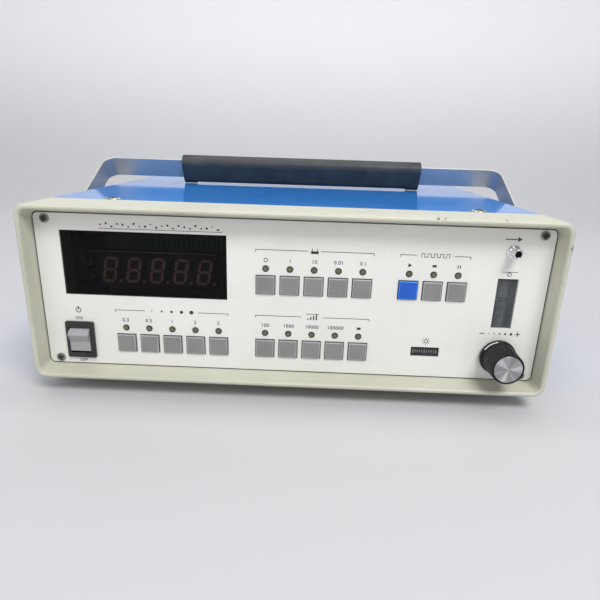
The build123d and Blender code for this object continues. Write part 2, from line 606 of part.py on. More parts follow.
def handle_plane():
    """Plane of the resting handle at its pivot: right is +X, up runs along the arms."""
    lean = radians(REST_ANGLE)
    along = (0, cos(lean), sin(lean))
    return Plane(origin=(0, FRONT + PIVOT_AT, BASE + PIVOT_Z), x_dir=(1, 0, 0),
                 z_dir=(0, -along[2], along[1]))


def bail(half_wide, reach, corner):
    """Arms and bar of the handle, drawn as a filled arch that starts below the pivot."""
    tail = STRAP_W
    arch = Pos(0, (reach - tail) / 2) * Rectangle(2 * half_wide, reach + tail)
    return fillet(arch.vertices().group_by(Axis.Y)[-1], corner)


def handle_strap():
    """Flat strip, bent twice, with round ends about the pivots."""
    half = STRAP_X
    strip = bail(half, REACH + STRAP_T, STRAP_R + STRAP_T) - bail(half - STRAP_T, REACH, STRAP_R)
    strap = extrude(handle_plane() * strip, amount=STRAP_W / 2, both=True)
    side = Pos((REACH + STRAP_W) / 2) * Rectangle(REACH + STRAP_W, STRAP_W) + Circle(STRAP_W / 2)
    strap &= across(Rot(0, 0, REST_ANGLE) * side, -WIDTH, WIDTH, PIVOT_AT, PIVOT_Z)
    return strap - across(Circle(PIVOT_R + RUNNING), -WIDTH, WIDTH, PIVOT_AT, PIVOT_Z)


def bar_section(wide, thick, corner, drop):
    """Section of the grip across the bar, in the side view, with extra depth below."""
    shape = Pos(0, -drop / 2) * RectangleRounded(thick, wide + drop, corner)
    return Rot(0, 0, REST_ANGLE) * (Pos(BAR_MID, 0) * shape)


def handle_grip():
    """Rubber grip on the bar; a collar at each end rests on the cover."""
    half = GRIP_L / 2
    grip = across(bar_section(GRIP_W, GRIP_T, GRIP_R, 0), -half, half, PIVOT_AT, PIVOT_Z)
    collar = bar_section(GRIP_W, GRIP_T, GRIP_R, COLLAR_DROP)
    for left in (-half, half - COLLAR_L):
        grip += across(collar, left, left + COLLAR_L, PIVOT_AT, PIVOT_Z)
    bar = Rot(0, 0, REST_ANGLE) * (Pos(BAR_MID, 0) * Rectangle(STRAP_T, STRAP_W))
    return grip - across(bar, -WIDTH, WIDTH, PIVOT_AT, PIVOT_Z)


def both_sides(part):
    return [part, mirror(part, about=Plane.YZ)]


def pivot_hubs():
    """Round spacers that hold the handle's arms clear of the end frames."""
    ring = Circle(HUB_R) - Circle(PIVOT_R + SCREW_PLAY)
    return both_sides(across(ring, COVER_W / 2, STRAP_X - STRAP_T - RUNNING, PIVOT_AT, PIVOT_Z))


def pivot_screws():
    """Shoulder screws that the handle turns on."""
    screw = across(Circle(PIVOT_R), RAIL_X - BOSS_L, STRAP_X + RUNNING, PIVOT_AT, PIVOT_Z)
    head = across(Circle(PIVOT_HEAD_R), STRAP_X + RUNNING, STRAP_X + PIVOT_HEAD_T, PIVOT_AT, PIVOT_Z)
    return both_sides(screw + chamfer(head.faces().sort_by(Axis.X)[-1].edges(), HEAD_BREAK))


# --- Rear panel --------------------------------------------------------------------------

SOCKET_X = WIDTH / 2 - INLET_IN
FUSE_X = WIDTH / 2 - FUSE_IN
AIR_X = WIDTH / 2 - AIR_IN
REAR_Z = HEIGHT / 2


def rear_panel():
    panel = blank_panel()
    hole = Rectangle(SOCKET_W + 2 * (SOCKET_WALL + FIT), SOCKET_H + 2 * (SOCKET_WALL + FIT))
    panel -= into(hole, 0, PAST_PANEL, SOCKET_X, REAR_Z)
    panel -= rod(FUSE_BODY_R + SCREW_PLAY, 0, PAST_PANEL, FUSE_X, REAR_Z)
    panel -= rod(AIR_R + SCREW_PLAY, 0, PAST_PANEL, AIR_X, REAR_Z)
    return to_rear(panel)


def power_inlet():
    """Mains appliance inlet: flange, socket and three blades."""
    flange = RectangleRounded(INLET_W, INLET_H, SOCKET_R)
    inlet = into(flange, PANEL_AT - FLANGE_T, PANEL_AT, SOCKET_X, REAR_Z)
    back = PANEL_AT - FLANGE_T + SOCKET_D
    shell = Rectangle(SOCKET_W + 2 * SOCKET_WALL, SOCKET_H + 2 * SOCKET_WALL)
    inlet += into(shell, PANEL_AT, back + SOCKET_WALL, SOCKET_X, REAR_Z)
    well = chamfer(Rectangle(SOCKET_W, SOCKET_H).vertices().group_by(Axis.Y)[-1], SOCKET_CUT)
    inlet -= into(well, 0, back, SOCKET_X, REAR_Z)
    for x, z in PINS:
        inlet += into(Rectangle(PIN_W, PIN_T), back - PIN_L, back, SOCKET_X + x, REAR_Z + z)
        inlet += into(Rectangle(TAB_T, PIN_T), back + SOCKET_WALL, back + TAB_L, SOCKET_X + x, REAR_Z + z)
    return to_rear(inlet)


def fuse_holder():
    face = PANEL_AT - FUSE_PROUD
    long, wide, deep = FUSE_SLOT
    holder = rod(FUSE_R, face, PANEL_AT, FUSE_X, REAR_Z)
    holder = chamfer(holder.faces().sort_by(Axis.Y)[0].edges(), FUSE_BREAK)
    holder -= into(Rectangle(long, wide), face, face + deep, FUSE_X, REAR_Z)
    holder += rod(FUSE_BODY_R, PANEL_AT, PANEL_AT + FUSE_L, FUSE_X, REAR_Z)
    holder += into(RegularPolygon(FUSE_R, 6), PANEL_BACK, PANEL_BACK + FUSE_NUT_T, FUSE_X, REAR_Z)
    return to_rear(holder)


# --- Inside ------------------------------------------------------------------------------

MAIN_X = LEDGE_SIDE + OPENING_R + MAIN_W / 2 + BOARD_SIDE - WIDTH / 2
MAIN_MID = MAIN_AT + MAIN_D / 2
COUNT_X = WIDTH / 2 - LEDGE_SIDE - OPENING_R - 2 * PUMP_R - BLOCK[0] / 2 - BOARD_SIDE
COUNT_AT = DEPTH - BLOCK_BACK
COUNT_Z = FLOOR + BLOCK[2] / 2
RIGHT_X = WIDTH / 2 - LEDGE_SIDE - OPENING_R - PUMP_R
LEFT_X = LEDGE_SIDE + OPENING_R + CORE[0] / 2 - WIDTH / 2


def main_studs():
    half_w, half_d = MAIN_W / 2 - BOARD_SIDE, MAIN_D / 2 - BOARD_SIDE
    return [(MAIN_X + sx * half_w, MAIN_MID + sy * half_d) for sx in (-1, 1) for sy in (-1, 1)]


def main_board():
    """Circuit board on its studs, with rows of chips."""
    low = FLOOR + MAIN_STUD
    board = upright(Rectangle(MAIN_W, MAIN_D), low, low + BOARD_T, MAIN_X, MAIN_MID)
    wide, long, tall = CHIP
    for n in range(5):
        for row in (-1, 1):
            x, depth = MAIN_X + (n - 2) * CHIP_PITCH, MAIN_MID + row * CHIP_ROW
            board += upright(Rectangle(wide, long), low + BOARD_T, low + BOARD_T + tall, x, depth)
    return board


def transformer():
    """Laminated core with its winding."""
    wide, long, tall = CORE
    depth = DEPTH - FRAME_D - TONGUE - long / 2 - COIL_OUT
    core = upright(Rectangle(wide, long), FLOOR, FLOOR + tall, LEFT_X, depth)
    coil = RectangleRounded(COIL_W, long + 2 * COIL_OUT, COIL_R)
    return core + upright(coil, FLOOR + COIL_OUT, FLOOR + tall - COIL_OUT, LEFT_X, depth)


def optical_block():
    """Machined chamber where the air crosses the light, with ports above and in front."""
    wide, long, tall = BLOCK
    block = upright(RectangleRounded(wide, long, BLOCK_R), FLOOR, FLOOR + tall, COUNT_X, COUNT_AT)
    block += upright(Circle(PORT_R), FLOOR + tall, FLOOR + tall + PORT_L, COUNT_X, COUNT_AT)
    return block + rod(PORT_R, COUNT_AT - long / 2 - PORT_L, COUNT_AT - long / 2, COUNT_X, COUNT_Z)


def lamp_housing():
    """Finned housing of the lamp, on the chamber's left side."""
    right = COUNT_X - BLOCK[0] / 2
    housing = across(Rectangle(LAMP_CORE, LAMP_CORE), right - LAMP_L, right, COUNT_AT, COUNT_Z)
    step = LAMP_L / LAMP_FINS
    for n in range(LAMP_FINS):
        left = right - LAMP_L + n * step
        housing += across(Rectangle(LAMP_H, LAMP_H), left, left + step / 3, COUNT_AT, COUNT_Z)
    return housing


def detector_tube():
    near = COUNT_AT + BLOCK[1] / 2
    tube = rod(DETECTOR_R, near, near + DETECTOR_L, COUNT_X, COUNT_Z)
    return chamfer(tube.faces().sort_by(Axis.Y)[-1].edges(), DETECTOR_BREAK)


def pump():
    """Diaphragm pump: motor behind, square head in front, two ports on top."""
    near = DEPTH - PUMP_BACK - PUMP_L
    height = FLOOR + PUMP_R
    body = rod(PUMP_R - PUMP_STEP, near, near + PUMP_L, RIGHT_X, height)
    head = RectangleRounded(2 * PUMP_R, 2 * PUMP_R, PUMP_HEAD_R)
    body += into(head, near - PUMP_HEAD_L, near, RIGHT_X, height)
    top, middle = FLOOR + 2 * PUMP_R, near - PUMP_HEAD_L / 2
    for side in (-1, 1):
        body += upright(Circle(PORT_R), top, top + PORT_L, RIGHT_X + side * PUMP_PORT_X, middle)
    return body


def exhaust_filter():
    """Filter capsule with a port at each end, in a saddle on the chassis."""
    height = FLOOR + FILTER_UP
    near, far = FILTER_AT, FILTER_AT + FILTER_L
    body = rod(FILTER_R, near, far, FLOW_X, height)
    body += rod(PORT_R, near - PORT_L, far + PORT_L, FLOW_X, height)
    saddle = upright(Rectangle(FILTER_R, FILTER_L / 2), FLOOR, height, FLOW_X, (near + far) / 2)
    return body + saddle


def hose(*points):
    """Soft tube along straight runs with mitred bends; points are x, depth, height."""
    places = [(x, FRONT + depth, BASE + z) for x, depth, z in points]
    path = Polyline(*places) if len(places) > 2 else Line(*places)
    section = Plane(origin=path @ 0, z_dir=path % 0) * dot(HOSE_R)
    return sweep(section, path=path, transition=Transition.RIGHT)


def air_tubes():
    """Hoses from the inlet through chamber, pump, filter and flow meter to the outlet."""
    inlet_end = DEPTH - PANEL_BACK - NIPPLE_BODY
    chamber_top = FLOOR + BLOCK[2] + PORT_L
    chamber_front = COUNT_AT - BLOCK[1] / 2 - PORT_L
    pump_top = FLOOR + 2 * PUMP_R + PORT_L
    head = DEPTH - PUMP_BACK - PUMP_L - PUMP_HEAD_L / 2
    filter_z, filter_end = FLOOR + FILTER_UP, FILTER_AT + FILTER_L + PORT_L
    over, turn = chamber_top + HOSE_RUN, filter_end + HOSE_RUN
    low = pump_top + HOSE_RUN
    meter_back, outlet_end = PANEL_BACK + METER_D, PANEL_BACK + NIPPLE_BODY
    loop = meter_back + HOSE_RUN
    suction, delivery = RIGHT_X - PUMP_PORT_X, RIGHT_X + PUMP_PORT_X
    return [
        hose((AIR_X, inlet_end, REAR_Z), (AIR_X, inlet_end - INLET_RUN, REAR_Z),
             (COUNT_X, COUNT_AT, over), (COUNT_X, COUNT_AT, chamber_top)),
        hose((COUNT_X, chamber_front, COUNT_Z), (COUNT_X, chamber_front - HOSE_RUN, COUNT_Z),
             (suction, chamber_front - HOSE_RUN, low), (suction, head, low), (suction, head, pump_top)),
        hose((delivery, head, pump_top), (delivery, head, low), (FLOW_X, turn, low),
             (FLOW_X, turn, filter_z), (FLOW_X, filter_end, filter_z)),
        hose((FLOW_X, FILTER_AT - PORT_L, filter_z), (FLOW_X, meter_back, filter_z)),
        hose((FLOW_X, meter_back, METER_Z), (FLOW_X, loop, METER_Z), (FLOW_X, loop, NIPPLE_Z),
             (FLOW_X, outlet_end, NIPPLE_Z)),
    ]


def nodes():
    parts = {name: key_cap(*spot) for name, spot in KEYS.items()}
    frame = end_frame()
    parts.update({
        "front_frame": frame,
        "rear_frame": to_rear(frame),
        "top_cover": top_cover(),
        "bottom_cover": bottom_cover(),
        "feet": feet(),
        "side_rail_left": side_rail(-1),
        "side_rail_right": side_rail(1),
        "chassis_plate": chassis_plate(),
        "panel_screws": panel_screws(),
        "cover_screws": cover_screws(),
        "front_panel": front_panel(),
        "display_window": display_window(),
        "key_switches": key_switches(),
        "status_leds": status_leds(),
        "digit_modules": digit_modules(),
        "display_board": display_board(),
        "hour_meter": hour_meter(),
        "rocker_bezel": rocker_bezel(),
        "rocker_actuator": rocker_actuator(),
        "outlet_nipple": nipple(NIPPLE_R, NIPPLE_BORE, NIPPLE_OUT, FLOW_X, NIPPLE_Z),
        "flowmeter_block": flowmeter_block(),
        "flow_ball": flow_ball(),
        "needle_valve": needle_valve(),
        "valve_spindle": valve_spindle(),
        "knob": knob(),
        "knob_cap": knob_cap(),
        "handle_strap": handle_strap(),
        "handle_grip": handle_grip(),
        "pivot_hubs": pivot_hubs(),
        "pivot_screws": pivot_screws(),
        "rear_panel": rear_panel(),
        "power_inlet": power_inlet(),
        "fuse_holder": fuse_holder(),
        "inlet_nipple": to_rear(nipple(AIR_R, AIR_BORE, PANEL_AT + AIR_PROUD, AIR_X, REAR_Z)),
        "main_board": main_board(),
        "transformer": transformer(),
        "optical_block": optical_block(),
        "lamp_housing": lamp_housing(),
        "detector_tube": detector_tube(),
        "pump": pump(),
        "exhaust_filter": exhaust_filter(),
        "air_tubes": air_tubes(),
    })
    return parts


os.makedirs("parts", exist_ok=True)
for name, part in nodes().items():
    solids = part if isinstance(part, list) else [part]
    export_step(Compound(children=[s for part in solids for s in part.solids()]), f"parts/{name}.step")
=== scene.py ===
import json
from math import atan2, cos, pi, radians, sin

import bpy
from mathutils import Matrix, Vector


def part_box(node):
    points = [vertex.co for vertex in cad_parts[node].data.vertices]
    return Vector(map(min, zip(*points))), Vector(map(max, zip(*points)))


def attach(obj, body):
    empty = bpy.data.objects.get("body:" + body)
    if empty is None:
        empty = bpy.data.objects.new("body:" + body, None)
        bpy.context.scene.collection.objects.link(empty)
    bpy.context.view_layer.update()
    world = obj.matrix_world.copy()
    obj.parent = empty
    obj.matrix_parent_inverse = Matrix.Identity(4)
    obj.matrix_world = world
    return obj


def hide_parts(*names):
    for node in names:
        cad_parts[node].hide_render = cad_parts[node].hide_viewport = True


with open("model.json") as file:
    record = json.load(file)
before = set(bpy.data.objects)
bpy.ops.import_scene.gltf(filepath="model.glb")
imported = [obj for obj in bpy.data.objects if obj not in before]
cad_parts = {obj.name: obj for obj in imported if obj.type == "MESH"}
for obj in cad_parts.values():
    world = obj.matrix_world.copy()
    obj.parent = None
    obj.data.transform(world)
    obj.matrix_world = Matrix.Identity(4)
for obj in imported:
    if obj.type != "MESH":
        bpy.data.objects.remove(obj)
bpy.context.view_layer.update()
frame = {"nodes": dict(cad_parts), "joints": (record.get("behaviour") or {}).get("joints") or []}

# Looks of a bench-top airborne particle counter. Metres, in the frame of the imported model:
# X right, Y back, Z up, and the panel faces -Y.

MM = 0.001
NODES = frame["nodes"]


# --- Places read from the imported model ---


def middle(node):
    low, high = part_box(node)
    return (low + high) / 2


def size(node):
    low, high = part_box(node)
    return high - low


PANEL_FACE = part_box("front_panel")[0].y
REAR_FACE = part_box("rear_panel")[1].y
KNOB_LOW, KNOB_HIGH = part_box("knob")
KNOB_X, KNOB_Z = middle("knob").x, middle("knob").z
COVER_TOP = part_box("top_cover")[1].z
COVER_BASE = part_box("bottom_cover")[0].z
PIVOT = next(Vector(j["pos_m"]) for j in frame["joints"] if j["name"] == "handle_swing")
STRAP_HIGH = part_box("handle_strap")[1]
GRIP_LOW, GRIP_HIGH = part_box("handle_grip")

SIZE_KEYS, ALARM_KEYS, VOLUME_KEYS = ([f"{use}_key_{n}" for n in range(1, 6)]
                                      for use in ("size", "alarm", "volume"))
MEASURE_KEYS = ["start_key", "stop_key", "hold_key"]
KEYS = SIZE_KEYS + ALARM_KEYS + VOLUME_KEYS + MEASURE_KEYS

# Sizes of what is added here
LAMP_UP = 8.8 * MM            # status lamp above the middle of its key
LAMP_R = 1.5 * MM
LAMP_PROUD = 0.9 * MM
STRAP_T, STRAP_W = 2.0 * MM, 15.0 * MM
STRAP_BEND = 10.0 * MM        # outside of the bends
HANDLE_LEAN = radians(28.73)  # arms above level, at rest
HANDLE_REACH = 106.8 * MM     # pivot to the outer face of the bar
GRIP_W, GRIP_T, GRIP_R = 20.6 * MM, 12.0 * MM, 4.9 * MM
COLLAR_L, COLLAR_DROP = 9.2 * MM, 0.9 * MM
COVER_SCREW_X = 101.0 * MM
COVER_SCREW_Y = 95.5 * MM
OUTLET_R, OUTLET_BORE = 2.5 * MM, 1.6 * MM
INLET_R, INLET_BORE = 3.2 * MM, 2.0 * MM
INK = 0.03 * MM               # thickness of printed marks
LINE = 0.32 * MM              # width of printed lines


# --- Shader maths ---


class Signal:
    """A value on its way through a finish's nodes; arithmetic on it adds Math nodes."""

    def __init__(self, finish, socket):
        self.finish, self.socket = finish, socket

    def math(self, operation, *values):
        return self.finish.node("ShaderNodeMath", {"operation": operation}, dict(enumerate(values)))

    def __add__(self, other):
        return self.math("ADD", self, other)

    def __sub__(self, other):
        return self.math("SUBTRACT", self, other)

    def __mul__(self, other):
        return self.math("MULTIPLY", self, other)

    def __truediv__(self, other):
        return self.math("DIVIDE", self, other)

    def __pow__(self, other):
        return self.math("POWER", self, other)

    def __lt__(self, other):
        return self.math("LESS_THAN", self, other)

    def __abs__(self):
        return self.math("ABSOLUTE", self)

    __radd__ = __add__

    def part(self, axis):
        return self.finish.node("ShaderNodeSeparateXYZ", {}, {0: self}, axis)

    def between(self, low, high):
        """0 at low and 1 at high, smooth and held outside."""
        settings = {"interpolation_type": "SMOOTHSTEP"}
        return self.finish.node("ShaderNodeMapRange", settings, {0: self, 1: low, 2: high})


class Finish:
    """A material being mixed for one kind of surface."""

    def __init__(self, name, **fixed):
        self.material = bpy.data.materials.new(name)
        self.material.use_nodes = True
        self.tree = self.material.node_tree
        self.shader = self.tree.nodes["Principled BSDF"]
        self.place = self.node("ShaderNodeTexCoord", output="Object")
        for socket, value in fixed.items():
            self.shader.inputs[socket.replace("_", " ")].default_value = value

    def node(self, kind, settings=None, values=None, output=0):
        made = self.tree.nodes.new(kind)
        for name, value in (settings or {}).items():
            setattr(made, name, value)
        for socket, value in (values or {}).items():
            if isinstance(value, Signal):
                self.tree.links.new(value.socket, made.inputs[socket])
            else:
                made.inputs[socket].default_value = value
        return Signal(self, made.outputs[output])

    def stretched(self, scale):
        """Object coordinates stretched by three factors."""
        return self.node("ShaderNodeMapping", {}, {"Vector": self.place, "Scale": scale})

    def cloud(self, scale, detail=3.0, rough=0.55, at=None):
        values = {"Vector": at or self.place, "Scale": scale, "Detail": detail, "Roughness": rough}
        return self.node("ShaderNodeTexNoise", {}, values)

    def grain(self, scale, at=None):
        """Distance to the nearest of many scattered points."""
        return self.node("ShaderNodeTexVoronoi", {}, {"Vector": at or self.place, "Scale": scale})

    def near(self, point, radius, ragged=0.4, scale=900.0):
        """1 inside a ragged spot about a point of the object, 0 outside."""
        ends = {0: self.place, 1: point}
        away = self.node("ShaderNodeVectorMath", {"operation": "DISTANCE"}, ends, "Value")
        return away / radius + (self.cloud(scale) - 0.5) * 2 * ragged < 1.0

    def blend(self, factor, first, second):
        values = {0: factor, 6: first, 7: second}
        return self.node("ShaderNodeMix", {"data_type": "RGBA"}, values, 2)

    def feed(self, **signals):
        for socket, signal in signals.items():
            self.tree.links.new(signal.socket, self.shader.inputs[socket.replace("_", " ")])
        return self.material

    def surface(self, colour, rough, height, depth):
        """Colour, roughness and the bump of a height map; depth in metres."""
        values = {"Height": height, "Distance": depth, "Strength": 1.0}
        bump = self.node("ShaderNodeBump", {}, values)
        return self.feed(Base_Color=colour, Roughness=rough, Normal=bump)


def rgb(red, green, blue):
    return (red, green, blue, 1.0)


# --- Finishes ---

WHITE_DUST = rgb(0.72, 0.72, 0.70)
GRIME = rgb(0.16, 0.14, 0.11)
BARE_METAL = rgb(0.20, 0.19, 0.18)


# Chips on the upper rim: place across, back from the rim, up from its top, radius
RIM_CHIPS = ((0.071, 0.3 * MM, 0.0, 1.0 * MM), (0.0745, 0.9 * MM, -0.3 * MM, 0.6 * MM),
             (0.104, 1.0 * MM, 0.0, 0.6 * MM), (-0.052, 0.4 * MM, 0.0, 0.5 * MM))


def cream_moulding():
    """Aged cream paint on the end frames: fine leather texture, chips on the rim, grimy scuffs."""
    f = Finish("cream_moulding", IOR=1.48)
    age = f.cloud(22.0, 4.0).between(0.35, 0.7)
    colour = f.blend(age, rgb(0.60, 0.60, 0.50), rgb(0.55, 0.545, 0.445))
    freckles = (f.grain(420.0) < 0.09) * f.cloud(60.0).between(0.52, 0.62)
    colour = f.blend(freckles * 0.5, colour, GRIME)
    strokes = f.cloud(1.0, 8.0, 0.7, f.stretched((90, 300, 900))).between(0.58, 0.66)
    scuffs = f.cloud(9.0, 2.0).between(0.56, 0.64) * strokes
    colour = f.blend(scuffs * 0.45, colour, GRIME)
    low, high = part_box("front_frame")
    chips = f.near((high.x - 0.4 * MM, low.y + 1.2 * MM, high.z - 13 * MM), 1.7 * MM)
    for x, back, up, radius in RIM_CHIPS:
        chips = chips.math("MAXIMUM", chips, f.near((x, low.y + back, high.z + up), radius))
    colour = f.blend(chips, colour, BARE_METAL)
    skin = f.cloud(700.0, 2.0) * 0.6 + f.grain(900.0) * 0.4
    rough = 0.36 + age * 0.10 + scuffs * 0.25
    return f.surface(colour, rough, skin - chips * 2, 0.05 * MM)


def blue_enamel():
    """Glossy blue stove enamel on the sheet covers, with dust and hairline scratches."""
    f = Finish("blue_enamel", IOR=1.4)
    shade = f.cloud(14.0, 3.0).between(0.3, 0.75)
    colour = f.blend(shade, rgb(0.034, 0.225, 0.67), rgb(0.042, 0.255, 0.73))
    dust = (f.grain(260.0) < 0.05) * f.cloud(35.0).between(0.5, 0.6)
    strokes = f.cloud(1.0, 3.0, 0.6, f.stretched((40, 2600, 2600))).between(0.66, 0.70)
    hair = strokes * f.cloud(25.0).between(0.5, 0.6)
    colour = f.blend(dust * 0.4 + hair * 0.25, colour, WHITE_DUST)
    rough = 0.07 + dust * 0.3 + hair * 0.2 + f.cloud(120.0) * 0.04
    return f.surface(colour, rough, f.cloud(260.0, 1.0), 0.003 * MM)


def panel_enamel():
    """Off-white baked paint of the panels: faint mottling, rubbed spots and small stains."""
    f = Finish("panel_enamel", IOR=1.47)
    mottle = f.cloud(30.0, 5.0).between(0.35, 0.7)
    colour = f.blend(mottle, rgb(0.85, 0.845, 0.805), rgb(0.81, 0.805, 0.76))
    stains = (f.grain(170.0) < 0.06) * f.cloud(48.0).between(0.55, 0.62)
    streaks = f.cloud(1.0, 3.0, 0.6, f.stretched((900, 900, 170))).between(0.70, 0.76)
    drips = streaks * f.cloud(40.0).between(0.55, 0.62)
    colour = f.blend(stains * 0.35 + drips * 0.3, colour, GRIME)
    rough = 0.36 + mottle * 0.08 + drips * 0.15
    return f.surface(colour, rough, f.cloud(900.0, 2.0), 0.02 * MM)


def moulded(name, colour, shade, rough=0.42, grain=650.0, depth=0.03, fingered=0.12, ior=1.48):
    """Moulded plastic or rubber: two close shades, a fine skin and fingered patches."""
    f = Finish(name, IOR=ior)
    cloud = f.cloud(90.0, 4.0).between(0.35, 0.7)
    base = f.blend(cloud, rgb(*colour), rgb(*shade))
    worn = f.cloud(160.0, 5.0, 0.65).between(0.5, 0.75)
    skin = f.cloud(grain, 2.0) * 0.5 + f.grain(grain * 1.4) * 0.5
    return f.surface(base, rough + (worn - 0.5) * fingered, skin, depth * MM)


def metal(name, colour, rough, lines=(1.0, 1.0, 1.0), depth=0.01, uneven=0.12, dull=0.25, bare=1.0):
    """Metal whose grain is stretched along each axis by lines; bare is the share free of haze."""
    f = Finish(name, Metallic=bare)
    brushed = f.cloud(1.0, 6.0, 0.7, f.stretched(lines))
    patina = f.cloud(55.0, 4.0).between(0.4, 0.75)
    light, dark = rgb(*colour), rgb(*(c * (1 - dull) for c in colour))
    base = f.blend(brushed * 0.5 + patina * 0.5, light, dark)
    return f.surface(base, rough + (brushed - 0.5) * uneven, brushed, depth * MM)


def window_tint():
    """Dark tinted acrylic over the figures, see-through enough to show them unlit."""
    f = Finish("window_tint", IOR=1.22, Alpha=0.5)
    smears = f.cloud(60.0, 5.0, 0.6).between(0.45, 0.75)
    specks = (f.grain(330.0) < 0.06) * f.cloud(70.0).between(0.52, 0.6)
    colour = f.blend(specks * 0.4, rgb(0.004, 0.0035, 0.0035), WHITE_DUST)
    return f.surface(colour, 0.07 + smears * 0.06 + specks * 0.3, f.cloud(300.0), 0.004 * MM)


def numeral_block():
    """Black numeral blocks whose raised bars are unlit red-brown."""
    f = Finish("numeral_block", IOR=1.5)
    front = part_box("digit_modules")[0].y
    bars = f.place.part("Y") < front + 0.2 * MM
    cloud = f.cloud(300.0).between(0.3, 0.7)
    colour = f.blend(bars, rgb(0.004, 0.004, 0.004),
                     f.blend(cloud, rgb(0.48, 0.25, 0.24), rgb(0.39, 0.205, 0.20)))
    return f.surface(colour, 0.35 + cloud * 0.15, f.cloud(1200.0), 0.01 * MM)


def lamp_lens():
    """Unlit olive lens of a status lamp, with a painted highlight making its nose pale and painted
    shade making it dark where it enters the panel.
    """
    f = Finish("lamp_lens", IOR=1.53, Coat_Weight=0.6, Coat_Roughness=0.05)
    # back is a painted shade mask: 0 on the highlit nose and 1 by the panel
    back = f.place.part("Y").between(PANEL_FACE - LAMP_PROUD, PANEL_FACE - LAMP_PROUD / 4)
    cloud = f.cloud(700.0).between(0.3, 0.7)
    pale = f.blend(cloud, rgb(0.137, 0.137, 0.066), rgb(0.102, 0.106, 0.050))
    return f.surface(f.blend(back, pale, rgb(0.030, 0.031, 0.018)), 0.16 + cloud * 0.1,
                     f.cloud(1500.0), 0.004 * MM)


def clear_block():
    """Smoky acrylic of the flow meter."""
    f = Finish("clear_block", IOR=1.3, Alpha=0.42)
    haze = f.cloud(80.0, 4.0).between(0.35, 0.75)
    colour = f.blend(haze, rgb(0.15, 0.17, 0.18), rgb(0.19, 0.21, 0.22))
    return f.surface(colour, 0.06 + haze * 0.08, f.cloud(500.0), 0.004 * MM)


def highlit_tube():
    """Tube that the ball rises in, painted pale towards its left and right sides as highlights."""
    f = Finish("highlit_tube", IOR=1.45, Alpha=0.34)
    # edge is a painted highlight mask: 0 where the tube faces front, 1 at its sides
    edge = abs(f.place.part("X") - middle("flow_ball").x).between(1.6 * MM, 3.0 * MM)
    streak = f.cloud(1.0, 3.0, 0.6, f.stretched((900, 900, 30))).between(0.4, 0.7)
    colour = f.blend(edge, rgb(0.20, 0.22, 0.23), rgb(0.62, 0.66, 0.68))
    return f.surface(colour, 0.08 + streak * 0.1, streak, 0.004 * MM)


def spun_disc():
    """Spun aluminium: rings cut by the tool, with bright sectors painted in as highlights."""
    f = Finish("spun_disc", Metallic=1.0)
    x, z = f.place.part("X") - KNOB_X, f.place.part("Z") - KNOB_Z
    out = (x * x + z * z) ** 0.5
    rings = f.cloud(1.0, 4.0, 0.7, f.node("ShaderNodeCombineXYZ", {}, {0: out * 9000}))
    turn = x.math("ARCTAN2", z, x)
    # Painted highlights: bright sectors round the disc, as spun metal would catch the light
    sector_highlight = (turn.math("SINE", turn * 3.0 + 0.9) * 0.5 + 0.5) ** 5.0
    fine = (turn.math("SINE", turn * 7.0 + 2.2) * 0.5 + 0.5) ** 3.0
    bright = f.blend(sector_highlight * 0.75 + fine * 0.25, rgb(0.34, 0.34, 0.34), rgb(0.84, 0.84, 0.85))
    return f.surface(f.blend(rings * 0.3, bright, rgb(0.36, 0.36, 0.36)), 0.30 + rings * 0.15,
                     rings, 0.01 * MM)


def board_resist():
    """Green solder resist over copper tracks."""
    f = Finish("board_resist", IOR=1.5)
    tracks = f.node("ShaderNodeTexBrick", {},
                    {"Vector": f.place, "Scale": 180.0, "Mortar Size": 0.03}, "Fac")
    colour = f.blend(tracks, rgb(0.014, 0.13, 0.055), rgb(0.05, 0.25, 0.10))
    return f.surface(colour, 0.3 + f.cloud(200.0) * 0.2, tracks, 0.03 * MM)


def woven_winding():
    """Varnished laminations and winding of the transformer."""
    f = Finish("woven_winding", IOR=1.5)
    sheets = f.node("ShaderNodeTexWave", {"bands_direction": "Y"},
                    {"Vector": f.place, "Scale": 160.0, "Distortion": 0.4})
    colour = f.blend(sheets, rgb(0.10, 0.095, 0.09), rgb(0.24, 0.15, 0.07))
    return f.surface(colour, 0.4 + f.cloud(150.0) * 0.2, sheets, 0.08 * MM)


CREAM, BLUE, PANEL = cream_moulding(), blue_enamel(), panel_enamel()
# Keys: face finishes, and lighter rim finishes that paint a highlight on the broken edges
KEY_FACE = moulded("key_face", (0.262, 0.257, 0.257), (0.23, 0.225, 0.225), 0.46)
KEY_HIGHLIGHT_RIM = moulded("key_rim_highlight", (0.42, 0.42, 0.41), (0.34, 0.34, 0.33), 0.38)
START_FACE = moulded("start_face", (0.008, 0.115, 0.60), (0.010, 0.095, 0.52), 0.42)
START_HIGHLIGHT_RIM = moulded("start_rim_highlight", (0.05, 0.25, 0.80), (0.03, 0.20, 0.70), 0.36)
BLACK = moulded("black_moulding", (0.018, 0.018, 0.019), (0.028, 0.027, 0.027), 0.34)
KNOB_BLACK = moulded("knob_black", (0.006, 0.006, 0.007), (0.010, 0.010, 0.010), 0.34, 900.0, 0.004,
                     0.08, 1.33)
ROCKER_GREY = moulded("rocker_grey", (0.39, 0.39, 0.405), (0.34, 0.34, 0.35), 0.35)
GRIP_RUBBER = moulded("grip_rubber", (0.050, 0.055, 0.057), (0.068, 0.073, 0.075), 0.56, 480.0,
                      0.06, 0.2, 1.36)
FOOT_RUBBER = moulded("foot_rubber", (0.020, 0.020, 0.020), (0.034, 0.033, 0.032), 0.62, 400.0,
                      0.08)
INK_BLACK = moulded("ink_black", (0.030, 0.030, 0.032), (0.050, 0.050, 0.052), 0.55)
